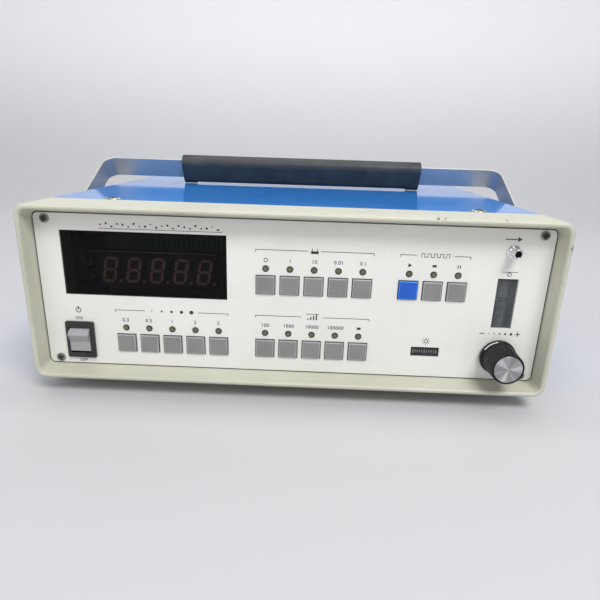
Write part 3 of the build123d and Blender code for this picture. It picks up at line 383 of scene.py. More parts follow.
# White of the painted highlight on the knob's shoulder
HIGHLIGHT_WHITE = moulded("highlight_white", (0.74, 0.74, 0.72), (0.62, 0.62, 0.60), 0.5)
HOSE = moulded("soft_hose", (0.50, 0.51, 0.47), (0.42, 0.43, 0.40), 0.45)
FILTER = moulded("filter_case", (0.76, 0.76, 0.74), (0.68, 0.68, 0.66), 0.45)
BALL = moulded("ball_black", (0.012, 0.012, 0.014), (0.02, 0.02, 0.022), 0.22)
TINT, BLOCKS, LENS = window_tint(), numeral_block(), lamp_lens()
CLEAR, HIGHLIT_TUBE = clear_block(), highlit_tube()
DISC, RESIST, WINDING = spun_disc(), board_resist(), woven_winding()
STRAP_STEEL = metal("brushed_strap", (0.60, 0.60, 0.575), 0.50, (18, 3200, 3200), 0.012, 0.16, 0.2,
                    0.7)
CHROME = metal("chrome_tube", (0.82, 0.82, 0.84), 0.10, (900, 60, 900), 0.003, 0.08, 0.12)
SCREW_STEEL = metal("screw_steel", (0.40, 0.39, 0.38), 0.32, (700, 700, 700), 0.02, 0.2, 0.45)
DARK_STEEL = metal("dark_steel", (0.16, 0.145, 0.13), 0.36, (700, 700, 700), 0.02, 0.2, 0.45)
# Painted shade inside the screws' cross recesses
RECESS_SHADE = moulded("screw_recess", (0.045, 0.043, 0.040), (0.065, 0.062, 0.058), 0.6)
CUP_NICKEL = metal("cup_nickel", (0.70, 0.69, 0.66), 0.18, (600, 600, 600), 0.01, 0.15, 0.3)
ZINC = metal("zinc_steel", (0.55, 0.56, 0.57), 0.36, (150, 900, 900), 0.02)
BRASS = metal("turned_brass", (0.68, 0.50, 0.22), 0.26, (900, 120, 900), 0.01)
ANODISED = metal("black_anodised", (0.06, 0.06, 0.065), 0.42, (800, 800, 800), 0.02)
TUBE = metal("tube_can", (0.48, 0.49, 0.50), 0.34, (900, 90, 900), 0.01)
PALE_MARK = moulded("pale_mark", (0.30, 0.31, 0.30), (0.22, 0.23, 0.22), 0.5)
PUMP = moulded("pump_paint", (0.22, 0.23, 0.24), (0.17, 0.18, 0.19), 0.4)


# --- Modelling helpers ---


def clear_selection():
    if bpy.context.object and bpy.context.object.mode != "OBJECT":
        bpy.ops.object.mode_set(mode="OBJECT")
    bpy.ops.object.select_all(action="DESELECT")


def take(piece):
    """Make one piece the only selected and active one."""
    clear_selection()
    piece.select_set(True)
    bpy.context.view_layer.objects.active = piece
    return piece


def bake():
    """Put the active piece's place, turn and size into its mesh."""
    bpy.ops.object.transform_apply(location=True, rotation=True, scale=True)


def edit(piece, kind="FACE"):
    take(piece)
    bpy.ops.object.mode_set(mode="EDIT")
    bpy.ops.mesh.select_mode(type=kind)
    bpy.ops.mesh.select_all(action="DESELECT")


def pick(piece, test, kind="FACE"):
    """Select the faces or edges of a piece whose middle passes a test; call it in edit mode."""
    bpy.ops.object.mode_set(mode="OBJECT")
    mesh = piece.data
    for group in (mesh.vertices, mesh.edges, mesh.polygons):
        group.foreach_set("select", [False] * len(group))
    if kind == "FACE":
        for face in mesh.polygons:
            face.select = bool(test(face.center, face.normal))
    elif kind == "EDGE":
        for line in mesh.edges:
            first, second = (mesh.vertices[v].co for v in line.vertices)
            line.select = bool(test(first, second))
    else:
        for point in mesh.vertices:
            point.select = bool(test(point.co))
    bpy.ops.object.mode_set(mode="EDIT")
    bpy.ops.mesh.select_mode(type=kind)


def done():
    bpy.ops.object.mode_set(mode="OBJECT")
    return bpy.context.object


def face_outward():
    """Turn all faces of the piece being edited outward and leave edit mode."""
    bpy.ops.mesh.select_all(action="SELECT")
    bpy.ops.mesh.normals_make_consistent(inside=False)
    return done()


def extrude(*move):
    bpy.ops.mesh.extrude_region_move(TRANSFORM_OT_translate={"value": move})


def inset(width, *move):
    """Inset the selected faces and shift what lies inside."""
    bpy.ops.mesh.inset(thickness=width)
    bpy.ops.transform.translate(value=move)


def round_edges(piece, width, steps=3, angle=30.0):
    """Round a piece's sharp edges and shade it smooth, with its flats kept flat."""
    take(piece)
    bevel = piece.modifiers.new("round", "BEVEL")
    bevel.width, bevel.segments = width, steps
    bevel.limit_method, bevel.angle_limit = "ANGLE", radians(angle)
    bpy.ops.object.modifier_apply(modifier="round")
    bpy.ops.object.shade_smooth_by_angle(angle=radians(32))
    level = piece.modifiers.new("level", "WEIGHTED_NORMAL")
    level.keep_sharp = True
    bpy.ops.object.modifier_apply(modifier="level")
    return piece


def settle(piece, name, body, finishes, slot, *nodes):
    """Name a finished piece, put its place in its mesh, and let it ride on its body.

    An empty list of finishes leaves the ones it has.
    """
    take(piece)
    bake()
    piece.name = piece.data.name = name
    if finishes:
        piece.data.materials.clear()
    for finish in finishes if isinstance(finishes, list) else [finishes]:
        piece.data.materials.append(finish)
    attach(piece, body)
    if nodes:
        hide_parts(*nodes)
    return piece


def twin(piece):
    """A copy of a piece with a mesh of its own."""
    copy = piece.copy()
    copy.data = piece.data.copy()
    bpy.context.scene.collection.objects.link(copy)
    return copy


def joined(pieces):
    """Several pieces made one."""
    clear_selection()
    for piece in pieces:
        piece.select_set(True)
    bpy.context.view_layer.objects.active = pieces[0]
    bpy.ops.object.join()
    return bpy.context.object


def merged_copy(node):
    """A CAD node's own form as one closed mesh with flat faces made whole."""
    piece = bpy.data.objects.new(node, NODES[node].data.copy())
    bpy.context.scene.collection.objects.link(piece)
    edit(piece)
    bpy.ops.mesh.select_all(action="SELECT")
    bpy.ops.mesh.remove_doubles(threshold=0.002 * MM)
    bpy.ops.mesh.dissolve_limited(angle_limit=radians(0.5))
    return done()


def softened(node, body, finish, slot, width, steps=3, angle=30.0):
    """The CAD form with its sharp edges rounded as the moulder or press leaves them."""
    piece = round_edges(merged_copy(node), width, steps, angle)
    return settle(piece, f"{node}_skin", body, finish, slot, node)


def wire(points):
    """A chain of lines through points, all selected in edit mode, to be extruded or spun."""
    clear_selection()
    bpy.ops.mesh.primitive_plane_add(size=1)
    piece = bpy.context.object
    edit(piece, "VERT")
    bpy.ops.mesh.select_all(action="SELECT")
    bpy.ops.mesh.delete(type="VERT")
    done()
    piece.data.from_pydata(points, [(n, n + 1) for n in range(len(points) - 1)], [])
    edit(piece, "VERT")
    bpy.ops.mesh.select_all(action="SELECT")
    return piece


def turned(profile, steps=64, axis="Y"):
    """Body of revolution about the world's Y or Z axis from (radius, along) points."""
    upright = axis == "Z"
    points = [Vector((r, 0, a)) if upright else Vector((r, a, 0)) for r, a in profile]
    piece = wire(points)
    bpy.ops.mesh.spin(steps=steps, angle=2 * pi, center=(0, 0, 0),
                      axis=(0, 0, 1) if upright else (0, 1, 0))
    bpy.ops.mesh.select_all(action="SELECT")
    bpy.ops.mesh.remove_doubles(threshold=0.001 * MM)
    bpy.ops.mesh.normals_make_consistent(inside=False)
    return done()


def placed(piece, at, turn=(0, 0, 0)):
    piece.location, piece.rotation_euler = at, turn
    take(piece)
    bake()
    return piece


def copies(model, spots):
    """One piece made of a model's copies at each (place, turn); the model itself goes."""
    made = [placed(twin(model), at, turn) for at, turn in spots]
    bpy.data.objects.remove(model)
    return joined(made)


def at_keys(y, up=0.0):
    """Level places over the middle of each key."""
    return [((middle(name).x, y, middle(name).z + up), (0, 0, 0)) for name in KEYS]


def rod(sides, radius, length, at, spin=0.0):
    """Prism or cylinder along Y."""
    clear_selection()
    bpy.ops.mesh.primitive_cylinder_add(vertices=sides, radius=radius, depth=length, location=at,
                                        rotation=(pi / 2, spin, 0))
    bake()
    return bpy.context.object


def box(width, depth, height, at=(0, 0, 0)):
    clear_selection()
    bpy.ops.mesh.primitive_cube_add(size=1, location=at)
    piece = bpy.context.object
    piece.scale = (width, depth, height)
    bake()
    return piece


# --- Housing ---


def housing():
    for node in ("front_frame", "rear_frame"):
        softened(node, "case", CREAM, "cream_moulding", 0.7 * MM, 4, 28.0)
    for node in ("top_cover", "bottom_cover"):
        softened(node, "case", BLUE, "blue_cover", 0.35 * MM, 3)
    softened("feet", "case", FOOT_RUBBER, "rubber_foot", 0.8 * MM, 3)
    for node in ("front_panel", "rear_panel"):
        softened(node, "case", PANEL, "panel_white", 0.22 * MM, 2)


GAP_SHADE_W = 0.34 * MM


def panel_gap_shades():
    """Dark line where each panel meets its frame: painted shade of the gap between them."""
    gap_shades = []
    for node, face, way in (("front_panel", PANEL_FACE, -1), ("rear_panel", REAR_FACE, 1)):
        low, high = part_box(node)
        mid = (low + high) / 2
        points = [v.co for v in NODES[node].data.vertices]
        corner = high.x - max(p.x for p in points if p.z > high.z - 0.01 * MM)
        # A flat black strip round each panel's edge stands in for the shade in the gap
        gap_shade = box(high.x - low.x, INK, high.z - low.z, (mid.x, face + way * INK / 2, mid.z))
        edit(gap_shade)
        pick(gap_shade, lambda a, b: abs(a.y - b.y) > INK / 2, "EDGE")
        bpy.ops.mesh.bevel(offset=corner, segments=10, affect="EDGES")
        pick(gap_shade, lambda at, normal: abs(normal.y) > 0.9)
        bpy.ops.mesh.inset(thickness=GAP_SHADE_W)
        bpy.ops.mesh.bridge_edge_loops()
        gap_shades.append(done())
    settle(joined(gap_shades), "panel_gap_shades", "case", BLACK, "black_plastic")


SCREW_HEAD_R, SCREW_RISE = 2.4 * MM, 1.1 * MM
SCREW_IN, SCREW_DOWN = 6.35 * MM, 3.3 * MM    # from the panel's edges


def cross_screw(radius, rise, finish):
    """Pan head with a cross recess painted dark as shade, standing on the ground plane and facing
    up.
    """
    clear_selection()
    bpy.ops.mesh.primitive_cylinder_add(vertices=48, radius=radius, depth=rise,
                                        location=(0, 0, rise / 2))
    head = bpy.context.object
    edit(head)
    pick(head, lambda at, normal: normal.z > 0.9)
    inset(radius * 0.25, 0, 0, rise * 0.18)
    inset(radius * 0.3, 0, 0, rise * 0.06)
    done()
    arms = [box(radius * 0.32, radius * 1.15, rise, (0, 0, rise * 1.15)),
            box(radius * 1.15, radius * 0.32, rise, (0, 0, rise * 1.15))]
    for arm in arms:
        take(head)
        cut = head.modifiers.new("cross", "BOOLEAN")
        cut.operation, cut.object, cut.solver = "DIFFERENCE", arm, "EXACT"
        bpy.ops.object.modifier_apply(modifier="cross")
        bpy.data.objects.remove(arm)
    round_edges(head, radius * 0.07, 2, 35)
    head.data.materials.clear()
    head.data.materials.append(finish)
    head.data.materials.append(RECESS_SHADE)
    # Faces inside the cross recess get the painted shade
    for face in head.data.polygons:
        inside = max(abs(face.center.x), abs(face.center.y)) < radius * 0.58
        face.material_index = int(inside and face.center.z < rise * 1.1)
    return head


def screws_of_the_panels():
    """Four cross-head screws in each panel."""
    model = cross_screw(SCREW_HEAD_R, SCREW_RISE, SCREW_STEEL)
    low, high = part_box("front_panel")
    across, up = (high.x - low.x) / 2 - SCREW_IN, (high.z - low.z) / 2 - SCREW_DOWN
    spots = [((sx * across, face, (low.z + high.z) / 2 + sz * up), (turn, 0.5 + 0.6 * n, 0))
             for face, turn in ((PANEL_FACE, pi / 2), (REAR_FACE, -pi / 2))
             for n, (sx, sz) in enumerate(((-1, -1), (-1, 1), (1, -1), (1, 1)))]
    settle(copies(model, spots), "panel_screw_heads", "case", [], "screw_steel", "panel_screws")


CUP_R, CUP_T = 4.2 * MM, 0.9 * MM
COVER_HEAD_R, COVER_HEAD_RISE = 2.6 * MM, 1.0 * MM


def screws_of_the_covers():
    """Dark cross-head screws in bright cup washers, four above and four below."""
    head = placed(cross_screw(COVER_HEAD_R, COVER_HEAD_RISE, DARK_STEEL), (0, 0, CUP_T * 0.55))
    cup = turned([(0.0, 0.0), (CUP_R, 0.0), (CUP_R, 0.18 * MM), (CUP_R * 0.88, CUP_T * 0.85),
                  (CUP_R * 0.80, CUP_T),
                  (CUP_R * 0.72, CUP_T * 0.9), (CUP_R * 0.66, CUP_T * 0.5), (0.0, CUP_T * 0.5)], 48,
                 "Z")
    cup = round_edges(cup, 0.08 * MM, 2, 25)
    heads, cups = [], []
    for level, turn in ((COVER_TOP, 0.0), (COVER_BASE, pi)):
        for n, (sx, sy) in enumerate(((-1, -1), (1, -1), (-1, 1), (1, 1))):
            at = (sx * COVER_SCREW_X, sy * COVER_SCREW_Y, level)
            heads.append((at, (turn, 0, 0.4 + n)))
            cups.append((at, (turn, 0, 0)))
    settle(copies(head, heads), "cover_screw_heads", "case", [], "screw_steel", "cover_screws")
    settle(copies(cup, cups), "cover_screw_cups", "case", CUP_NICKEL, "screw_steel")


# --- Controls ---


def key_caps():
    """Square keys: a flat face whose broken edges are painted lighter as highlights."""
    cap_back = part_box(KEYS[0])[0].y + 6.0 * MM
    for name in KEYS:
        low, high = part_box(name)
        width, mid = high.x - low.x, (low + high) / 2
        key = box(width, cap_back - low.y, width, (mid.x, (low.y + cap_back) / 2, mid.z))
        edit(key)
        pick(key, lambda at, normal: normal.y < -0.9)
        inset(0.42 * MM, 0, -0.22 * MM, 0)
        done()
        placed(key, (0, 0.22 * MM, 0))
        round_edges(key, 0.10 * MM, 2, 15)
        # The second finish paints a highlight on each key's broken edges
        face, rim = (START_FACE, START_HIGHLIGHT_RIM) if name == "start_key" else (KEY_FACE, KEY_HIGHLIGHT_RIM)
        settle(key, f"{name}_cap", name, [face, rim],
               "key_blue" if name == "start_key" else "key_grey", name)
        inner = width / 2 - 0.5 * MM
        for polygon in key.data.polygons:
            at = polygon.center
            on_highlight_rim = max(abs(at.x - mid.x), abs(at.z - mid.z)) > inner
            polygon.material_index = int(on_highlight_rim and at.y < low.y + 0.5 * MM)


KEY_EDGE = 0.42 * MM


def key_gap_shades():
    """Thin black frame round each key: painted shade standing in for the dark gap in its opening.
    """
    out = size(KEYS[0]).x + KEY_EDGE + 0.06 * MM
    model = joined([box(out + KEY_EDGE, INK, KEY_EDGE, (0, 0, way * out / 2)) for way in (-1, 1)]
                   + [box(KEY_EDGE, INK, out - KEY_EDGE, (way * out / 2, 0, 0)) for way in (-1, 1)])
    # Painted shade of the gaps, laid flat on the panel face
    frames = copies(model, at_keys(PANEL_FACE - INK / 2))
    settle(frames, "key_gap_shades", "case", BLACK, "black_plastic")


def status_lamps():
    """Round-nosed lamps, each in a thin dark collar."""
    lens = turned([(0.0, -LAMP_PROUD), (LAMP_R * 0.45, -LAMP_PROUD * 0.93),
                   (LAMP_R * 0.8, -LAMP_PROUD * 0.66),
                   (LAMP_R * 0.97, -LAMP_PROUD * 0.2), (LAMP_R, 0.2 * MM), (LAMP_R, 3 * MM),
                   (0.0, 3 * MM)], 32)
    lens = round_edges(lens, 0.02 * MM, 1, 60)
    collar = turned([(LAMP_R, -0.02 * MM), (LAMP_R + 0.32 * MM, -0.02 * MM),
                     (LAMP_R + 0.36 * MM, 0.05 * MM),
                   (LAMP_R, 0.05 * MM), (LAMP_R, -0.02 * MM)], 32)
    spots = at_keys(PANEL_FACE, LAMP_UP)
    settle(copies(lens, spots), "lamp_lenses", "case", LENS, "lamp_olive", "status_leds")
    settle(copies(collar, spots), "lamp_collars", "case", BLACK, "black_plastic")


def display():
    """Tinted window with a fine edge, over the numeral blocks."""
    low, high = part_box("display_window")
    pane = box(high.x - low.x, high.y - low.y, high.z - low.z, (low + high) / 2)
    edit(pane)
    pick(pane, lambda at, normal: normal.y < -0.9)
    inset(0.5 * MM, 0, -0.12 * MM, 0)
    done()
    round_edges(pane, 0.10 * MM, 2, 10)
    settle(pane, "display_pane", "case", TINT, "window_black", "display_window")
    blocks_low, blocks_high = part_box("digit_modules")
    left, level = low.x + 4 * MM, blocks_high.z + 0.5 * MM
    marks = [box(blocks_high.x - left, 0.6 * MM, 0.3 * MM,
                 ((left + blocks_high.x) / 2, blocks_low.y, level))]
    for height in (12.5 * MM, 5.0 * MM):
        marks.append(wedge(blocks_low.x - 4.2 * MM, blocks_low.z + height, 1.3 * MM, 1,
                           blocks_low.y))
    settle(joined(marks), "display_marks", "case", PALE_MARK, "black_plastic")


def rocker_switch():
    softened("rocker_bezel", "case", BLACK, "black_plastic", 0.35 * MM, 3)
    softened("rocker_actuator", "rocker", ROCKER_GREY, "rocker_grey", 0.45 * MM, 4)


def tube_nipple(node, name, end, back, radius, bore):
    """Bright hose tube, bored, with a rolled lip at end 0 or 1 of its box and a washer."""
    at, front = middle(node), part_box(node)[end].y
    way = 1 if back > front else -1
    lip = 0.35 * MM
    rim = front + way * lip
    inner = front + way * 9 * MM
    washer = back - way * 1.0 * MM
    profile = [(0.0, inner), (bore, inner), (bore, rim), (bore + lip * 0.4, front),
               (radius - lip * 0.7, front),
               (radius, rim), (radius, washer), (radius + 0.85 * MM, washer),
               (radius + MM, washer + way * 0.2 * MM),
               (radius + MM, back), (radius, back), (radius, back + way * 4 * MM),
               (0.0, back + way * 4 * MM)]
    tube = round_edges(turned(profile, 64), 0.12 * MM, 2, 25)
    tube.location = (at.x, 0, at.z)
    settle(tube, name, "case", CHROME, "chrome_fitting", node)
    clear_selection()
    bpy.ops.mesh.primitive_circle_add(vertices=40, radius=bore, fill_type="NGON",
                                      location=(at.x, inner - way * 0.1 * MM, at.z),
                                      rotation=(way * pi / 2, 0, 0))
    shade = bpy.context.object
    edit(shade)
    bpy.ops.mesh.select_all(action="SELECT")
    extrude(0, way * -0.5 * MM, 0)
    face_outward()
    settle(shade, f"{name}_shade", "case", BLACK, "black_plastic")


KNOB_RIBS = 54
KNOB_R, KNOB_FRONT_R, SKIRT_R = 9.1 * MM, 8.4 * MM, 9.7 * MM
CAP_R = 7.3 * MM


def flow_knob():
    """Finely ribbed knob on a smooth skirt, with a spun disc in its face."""
    front, back = KNOB_LOW.y + 0.25 * MM, KNOB_HIGH.y
    skirt = back - 2.6 * MM
    body = rod(2 * KNOB_RIBS, KNOB_R, skirt - front, (0, (front + skirt) / 2, 0))
    edit(body, "VERT")
    pick(body, lambda at: round(atan2(at.z, at.x) / (pi / KNOB_RIBS)) % 2 == 0, "VERT")
    bpy.ops.transform.resize(value=(0.955, 1, 0.955), center_override=(0, 0, 0))
    pick(body, lambda at: at.y < front + 0.1 * MM, "VERT")
    bpy.ops.transform.resize(value=(KNOB_FRONT_R / KNOB_R, 1, KNOB_FRONT_R / KNOB_R),
                             center_override=(0, 0, 0))
    pick(body, lambda at, normal: normal.y < -0.9)
    inset(0.45 * MM, 0, -0.25 * MM, 0)
    inset(0.2 * MM, 0, 0.9 * MM, 0)
    done()
    round_edges(body, 0.10 * MM, 2, 20)
    base = turned([(0.0, skirt - 0.2 * MM), (KNOB_R, skirt - 0.2 * MM),
                   (SKIRT_R - 0.25 * MM, skirt + 0.2 * MM),
                   (SKIRT_R, skirt + 0.7 * MM), (SKIRT_R, back - 0.3 * MM),
                   (SKIRT_R - 0.3 * MM, back), (0.0, back)], 96)
    round_edges(base, 0.15 * MM, 2, 20)
    knob = joined([body, base])
    knob.location = (KNOB_X, 0, KNOB_Z)
    settle(knob, "ribbed_knob", "knob", KNOB_BLACK, "black_plastic", "knob", "valve_spindle")
    cap_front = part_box("knob_cap")[0].y
    disc = turned([(0.0, cap_front + 0.05 * MM), (CAP_R * 0.96, cap_front + 0.05 * MM),
                   (CAP_R, cap_front + 0.2 * MM),
                   (CAP_R, cap_front + 0.9 * MM), (0.0, cap_front + 0.9 * MM)], 96)
    round_edges(disc, 0.08 * MM, 2, 20)
    disc.location = (KNOB_X, 0, KNOB_Z)
    settle(disc, "knob_disc", "knob", DISC, "spun_aluminium", "knob_cap")
    knob_highlight_and_socket(skirt)


HIGHLIGHT_FROM, HIGHLIGHT_TO = radians(100), radians(150)
SET_SCREW_AT = radians(168)


def knob_highlight_and_socket(skirt):
    """Pale arc on the skirt's shoulder, a painted highlight on its step, and the dark socket of the
    set screw.
    """
    # Painted highlight: a white arc on the step between the ribs and the skirt
    arc = turned([(KNOB_R + 0.12 * MM, -0.06 * MM), (SKIRT_R - 0.1 * MM, 0.32 * MM),
                  (SKIRT_R - 0.1 * MM, 0.4 * MM),
                   (KNOB_R + 0.12 * MM, 0.02 * MM), (KNOB_R + 0.12 * MM, -0.06 * MM)], 180)
    edit(arc)
    pick(arc, lambda at, normal: not HIGHLIGHT_FROM < atan2(at.z, at.x) < HIGHLIGHT_TO)
    bpy.ops.mesh.delete(type="FACE")
    bpy.ops.mesh.select_all(action="SELECT")
    bpy.ops.mesh.select_mode(type="EDGE")
    bpy.ops.mesh.region_to_loop()
    bpy.ops.mesh.edge_face_add()
    face_outward()
    arc.location = (KNOB_X, skirt - 0.22 * MM, KNOB_Z)
    settle(arc, "knob_highlight_arc", "knob", HIGHLIGHT_WHITE, "black_plastic")
    out = Vector((cos(SET_SCREW_AT), 0, sin(SET_SCREW_AT)))
    at = Vector((KNOB_X, skirt - 5.5 * MM, KNOB_Z)) + out * (KNOB_R - 0.35 * MM)
    socket = turned([(0.0, -0.3 * MM), (0.75 * MM, -0.3 * MM), (0.8 * MM, 0.0), (1.3 * MM, 0.0),
                     (1.45 * MM, -0.2 * MM),
                     (1.45 * MM, -1.2 * MM), (0.0, -1.2 * MM)], 36, "Z")
    round_edges(socket, 0.06 * MM, 2, 25)
    socket.location = at
    socket.rotation_euler = out.to_track_quat("Z", "Y").to_euler()
    settle(socket, "set_screw", "knob", BLACK, "black_plastic")


INDEX_UP = (11.6 * MM, 12.9 * MM)   # index lines above the resting ball
BALL_TRAVEL = 22.0 * MM
SLEEVE_IN, SLEEVE_OUT = 2.75 * MM, 3.1 * MM


def flow_window():
    """Clear block whose bore holds the ball, with two index lines on its face."""
    softened("flowmeter_block", "case", CLEAR, "clear_acrylic", 0.15 * MM, 2)
    softened("flow_ball", "ball", BALL, "ball_black", 0.05 * MM, 1, 60)
    ball_low, ball_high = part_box("flow_ball")
    bore = middle("flow_ball")
    face = PANEL_FACE + 1.0 * MM
    lines = [box(5.6 * MM, 0.1 * MM, 0.42 * MM,
                 (KNOB_X - 0.9 * MM, face - 0.06 * MM, ball_high.z + up))
             for up in INDEX_UP]
    settle(joined(lines), "index_lines", "case", INK_BLACK, "black_plastic")
    foot, top = ball_low.z, ball_high.z + BALL_TRAVEL
    # The sleeve is a thin pale liner in the bore, there to carry the painted highlights along the
    # bore's sides
    sleeve = turned([(SLEEVE_IN, foot), (SLEEVE_OUT, foot), (SLEEVE_OUT, top), (SLEEVE_IN, top),
                     (SLEEVE_IN, foot)], 48, "Z")
    sleeve = round_edges(sleeve, 0.05 * MM, 1, 30)
    sleeve.location = (bore.x, bore.y, 0)
    settle(sleeve, "meter_tube", "case", HIGHLIT_TUBE, "clear_acrylic")


# --- Print ---

NUMBER_UP, BRACKET_UP, BRACKET_DROP = 13.4 * MM, 18.9 * MM, 1.2 * MM
NUMBER_H, NUMBER_BOLD = 2.8 * MM, 0.035 * MM


def printed_words(entries):
    """Flat figures and switch words on the front panel from (text, x, z, height)."""
    pieces = []
    for text, x, z, height in entries:
        clear_selection()
        bpy.ops.object.text_add(location=(x, PANEL_FACE - INK, z - height * 0.36),
                                rotation=(pi / 2, 0, 0))
        label = bpy.context.object
        label.data.body, label.data.size, label.data.align_x = text, height, "CENTER"
        label.data.extrude, label.data.resolution_u = INK / 2, 3
        label.data.offset, label.data.space_character = NUMBER_BOLD, 1.08
        bpy.ops.object.convert(target="MESH")
        pieces.append(bpy.context.object)
    return pieces


def stroke(x0, z0, x1, z1, width=LINE):
    """Straight printed line, level or upright."""
    wide, tall = abs(x1 - x0) + width, abs(z1 - z0) + width
    return box(wide, INK, tall, ((x0 + x1) / 2, PANEL_FACE - INK / 2, (z0 + z1) / 2))


def dot(x, z, radius):
    return rod(28, radius, INK, (x, PANEL_FACE - INK / 2, z))


def ring(x, z, radius, width=LINE):
    inner, outer = radius - width / 2, radius + width / 2
    return placed(turned([(inner, 0), (outer, 0), (outer, INK), (inner, INK), (inner, 0)], 36),
                  (x, PANEL_FACE - INK, z))


def wedge(x, z, reach, way, y=PANEL_FACE - INK / 2):
    """Small triangle that points right (way 1) or left (way -1)."""
    return rod(3, reach, INK, (x, y, z), way * pi / 2)


def bracket(names, open_share):
    """Line over a group of keys, its ends turned down, open in the middle for a sign."""
    left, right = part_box(names[0])[0].x - 0.4 * MM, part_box(names[-1])[1].x + 0.4 * MM
    level = middle(names[0]).z + BRACKET_UP
    reach = (1 - open_share) / 2 * (right - left)
    marks = []
    for end, way in ((left, 1), (right, -1)):
        marks.append(stroke(end, level, end + way * reach, level))
        marks.append(stroke(end, level - BRACKET_DROP, end, level))
    return marks, (left + right) / 2, level


def size_sign(x, z):
    """Five dots of growing size."""
    return [dot(x + (n - 2) * 5.4 * MM, z, (0.32 + 0.2 * n) * MM) for n in range(5)]


def volume_sign(x, z):
    """Open vessel, half full."""
    half, tall = 1.3 * MM, 1.3 * MM
    marks = [stroke(x + side * half, z - tall, x + side * half, z + tall) for side in (-1, 1)]
    return marks + [stroke(x - half, z - tall * 0.5, x + half, z - tall * 0.5, 1.4 * MM)]


def alarm_sign(x, z):
    """Steps that rise to a level."""
    steps = []
    for n in range(4):
        at = x + (n - 1.5) * 1.5 * MM
        steps.append(stroke(at, z - 1.2 * MM, at, z + (0.75 * n - 1.0) * MM, 0.7 * MM))
    return steps + [stroke(x - 3.4 * MM, z + 1.75 * MM, x + 3.4 * MM, z + 1.75 * MM)]


def pulse_sign(x, z):
    """Train of square pulses."""
    marks, half, low, high = [], 0.8 * MM, z - 0.9 * MM, z + 0.9 * MM
    for n in range(-2, 3):
        at = x + n * 4 * half
        marks += [stroke(at - half, low, at - half, high), stroke(at + half, low, at + half, high),
                  stroke(at - half, high, at + half, high)]
        if n < 2:
            marks.append(stroke(at + half, low, at + 3 * half, low))
    return marks


def lamp_sign(x, z):
    """Round lamp with rays."""
    rays = [dot(x + 1.9 * MM * cos(n * pi / 4), z + 1.9 * MM * sin(n * pi / 4),
                0.26 * MM) for n in range(8)]
    return [ring(x, z, 1.0 * MM, 0.4 * MM)] + rays


def power_sign(x, z):
    return [ring(x, z, 1.35 * MM, 0.4 * MM), stroke(x, z + 0.2 * MM, x, z + 1.9 * MM, 0.45 * MM)]


def flow_signs():
    """Arrow at the outlet, ball under a line at the flow window, less and more at the knob."""
    low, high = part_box("outlet_nipple")
    over_outlet = high.z + 2.6 * MM
    marks = [stroke(KNOB_X - 4.5 * MM, over_outlet, KNOB_X + 1.0 * MM, over_outlet, 0.5 * MM),
             wedge(KNOB_X + 2.2 * MM, over_outlet, 1.5 * MM, 1)]
    window_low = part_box("flow_ball")[0].z + 0.6 * MM
    over_window, over_knob = window_low + 30.4 * MM, window_low - 3.1 * MM
    marks += [ring(KNOB_X, over_window - 0.5 * MM, 0.95 * MM, 0.35 * MM),
              stroke(KNOB_X - 4.2 * MM, over_window + 0.75 * MM, KNOB_X + 4.2 * MM,
                     over_window + 0.75 * MM, 0.3 * MM)]
    less, more = KNOB_X - 9.5 * MM, KNOB_X + 9.5 * MM
    marks += [stroke(less - 1.1 * MM, over_knob, less + 1.1 * MM, over_knob, 0.45 * MM),
              stroke(more - 1.1 * MM, over_knob, more + 1.1 * MM, over_knob, 0.45 * MM),
              stroke(more, over_knob - 1.1 * MM, more, over_knob + 1.1 * MM, 0.45 * MM)]
    return marks + [dot(KNOB_X + n * 3.0 * MM, over_knob, (0.5 + 0.12 * n) * MM)
                    for n in range(-2, 3)]


def dust_trail():
    """Plain graphic over the display: grains of dust along a fine line."""
    low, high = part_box("display_window")
    level = high.z + 3.2 * MM
    marks = [stroke(low.x + 21 * MM, level - 1.6 * MM, high.x - 2 * MM, level - 1.6 * MM,
                    0.25 * MM)]
    for n in range(22):
        x = low.x + (22 + 2.9 * n) * MM
        marks.append(dot(x, level + (0.4 + 0.9 * sin(2.3 * n)) * MM,
                         (0.34 + 0.26 * abs(sin(1.7 * n + 0.5))) * MM))
    return marks


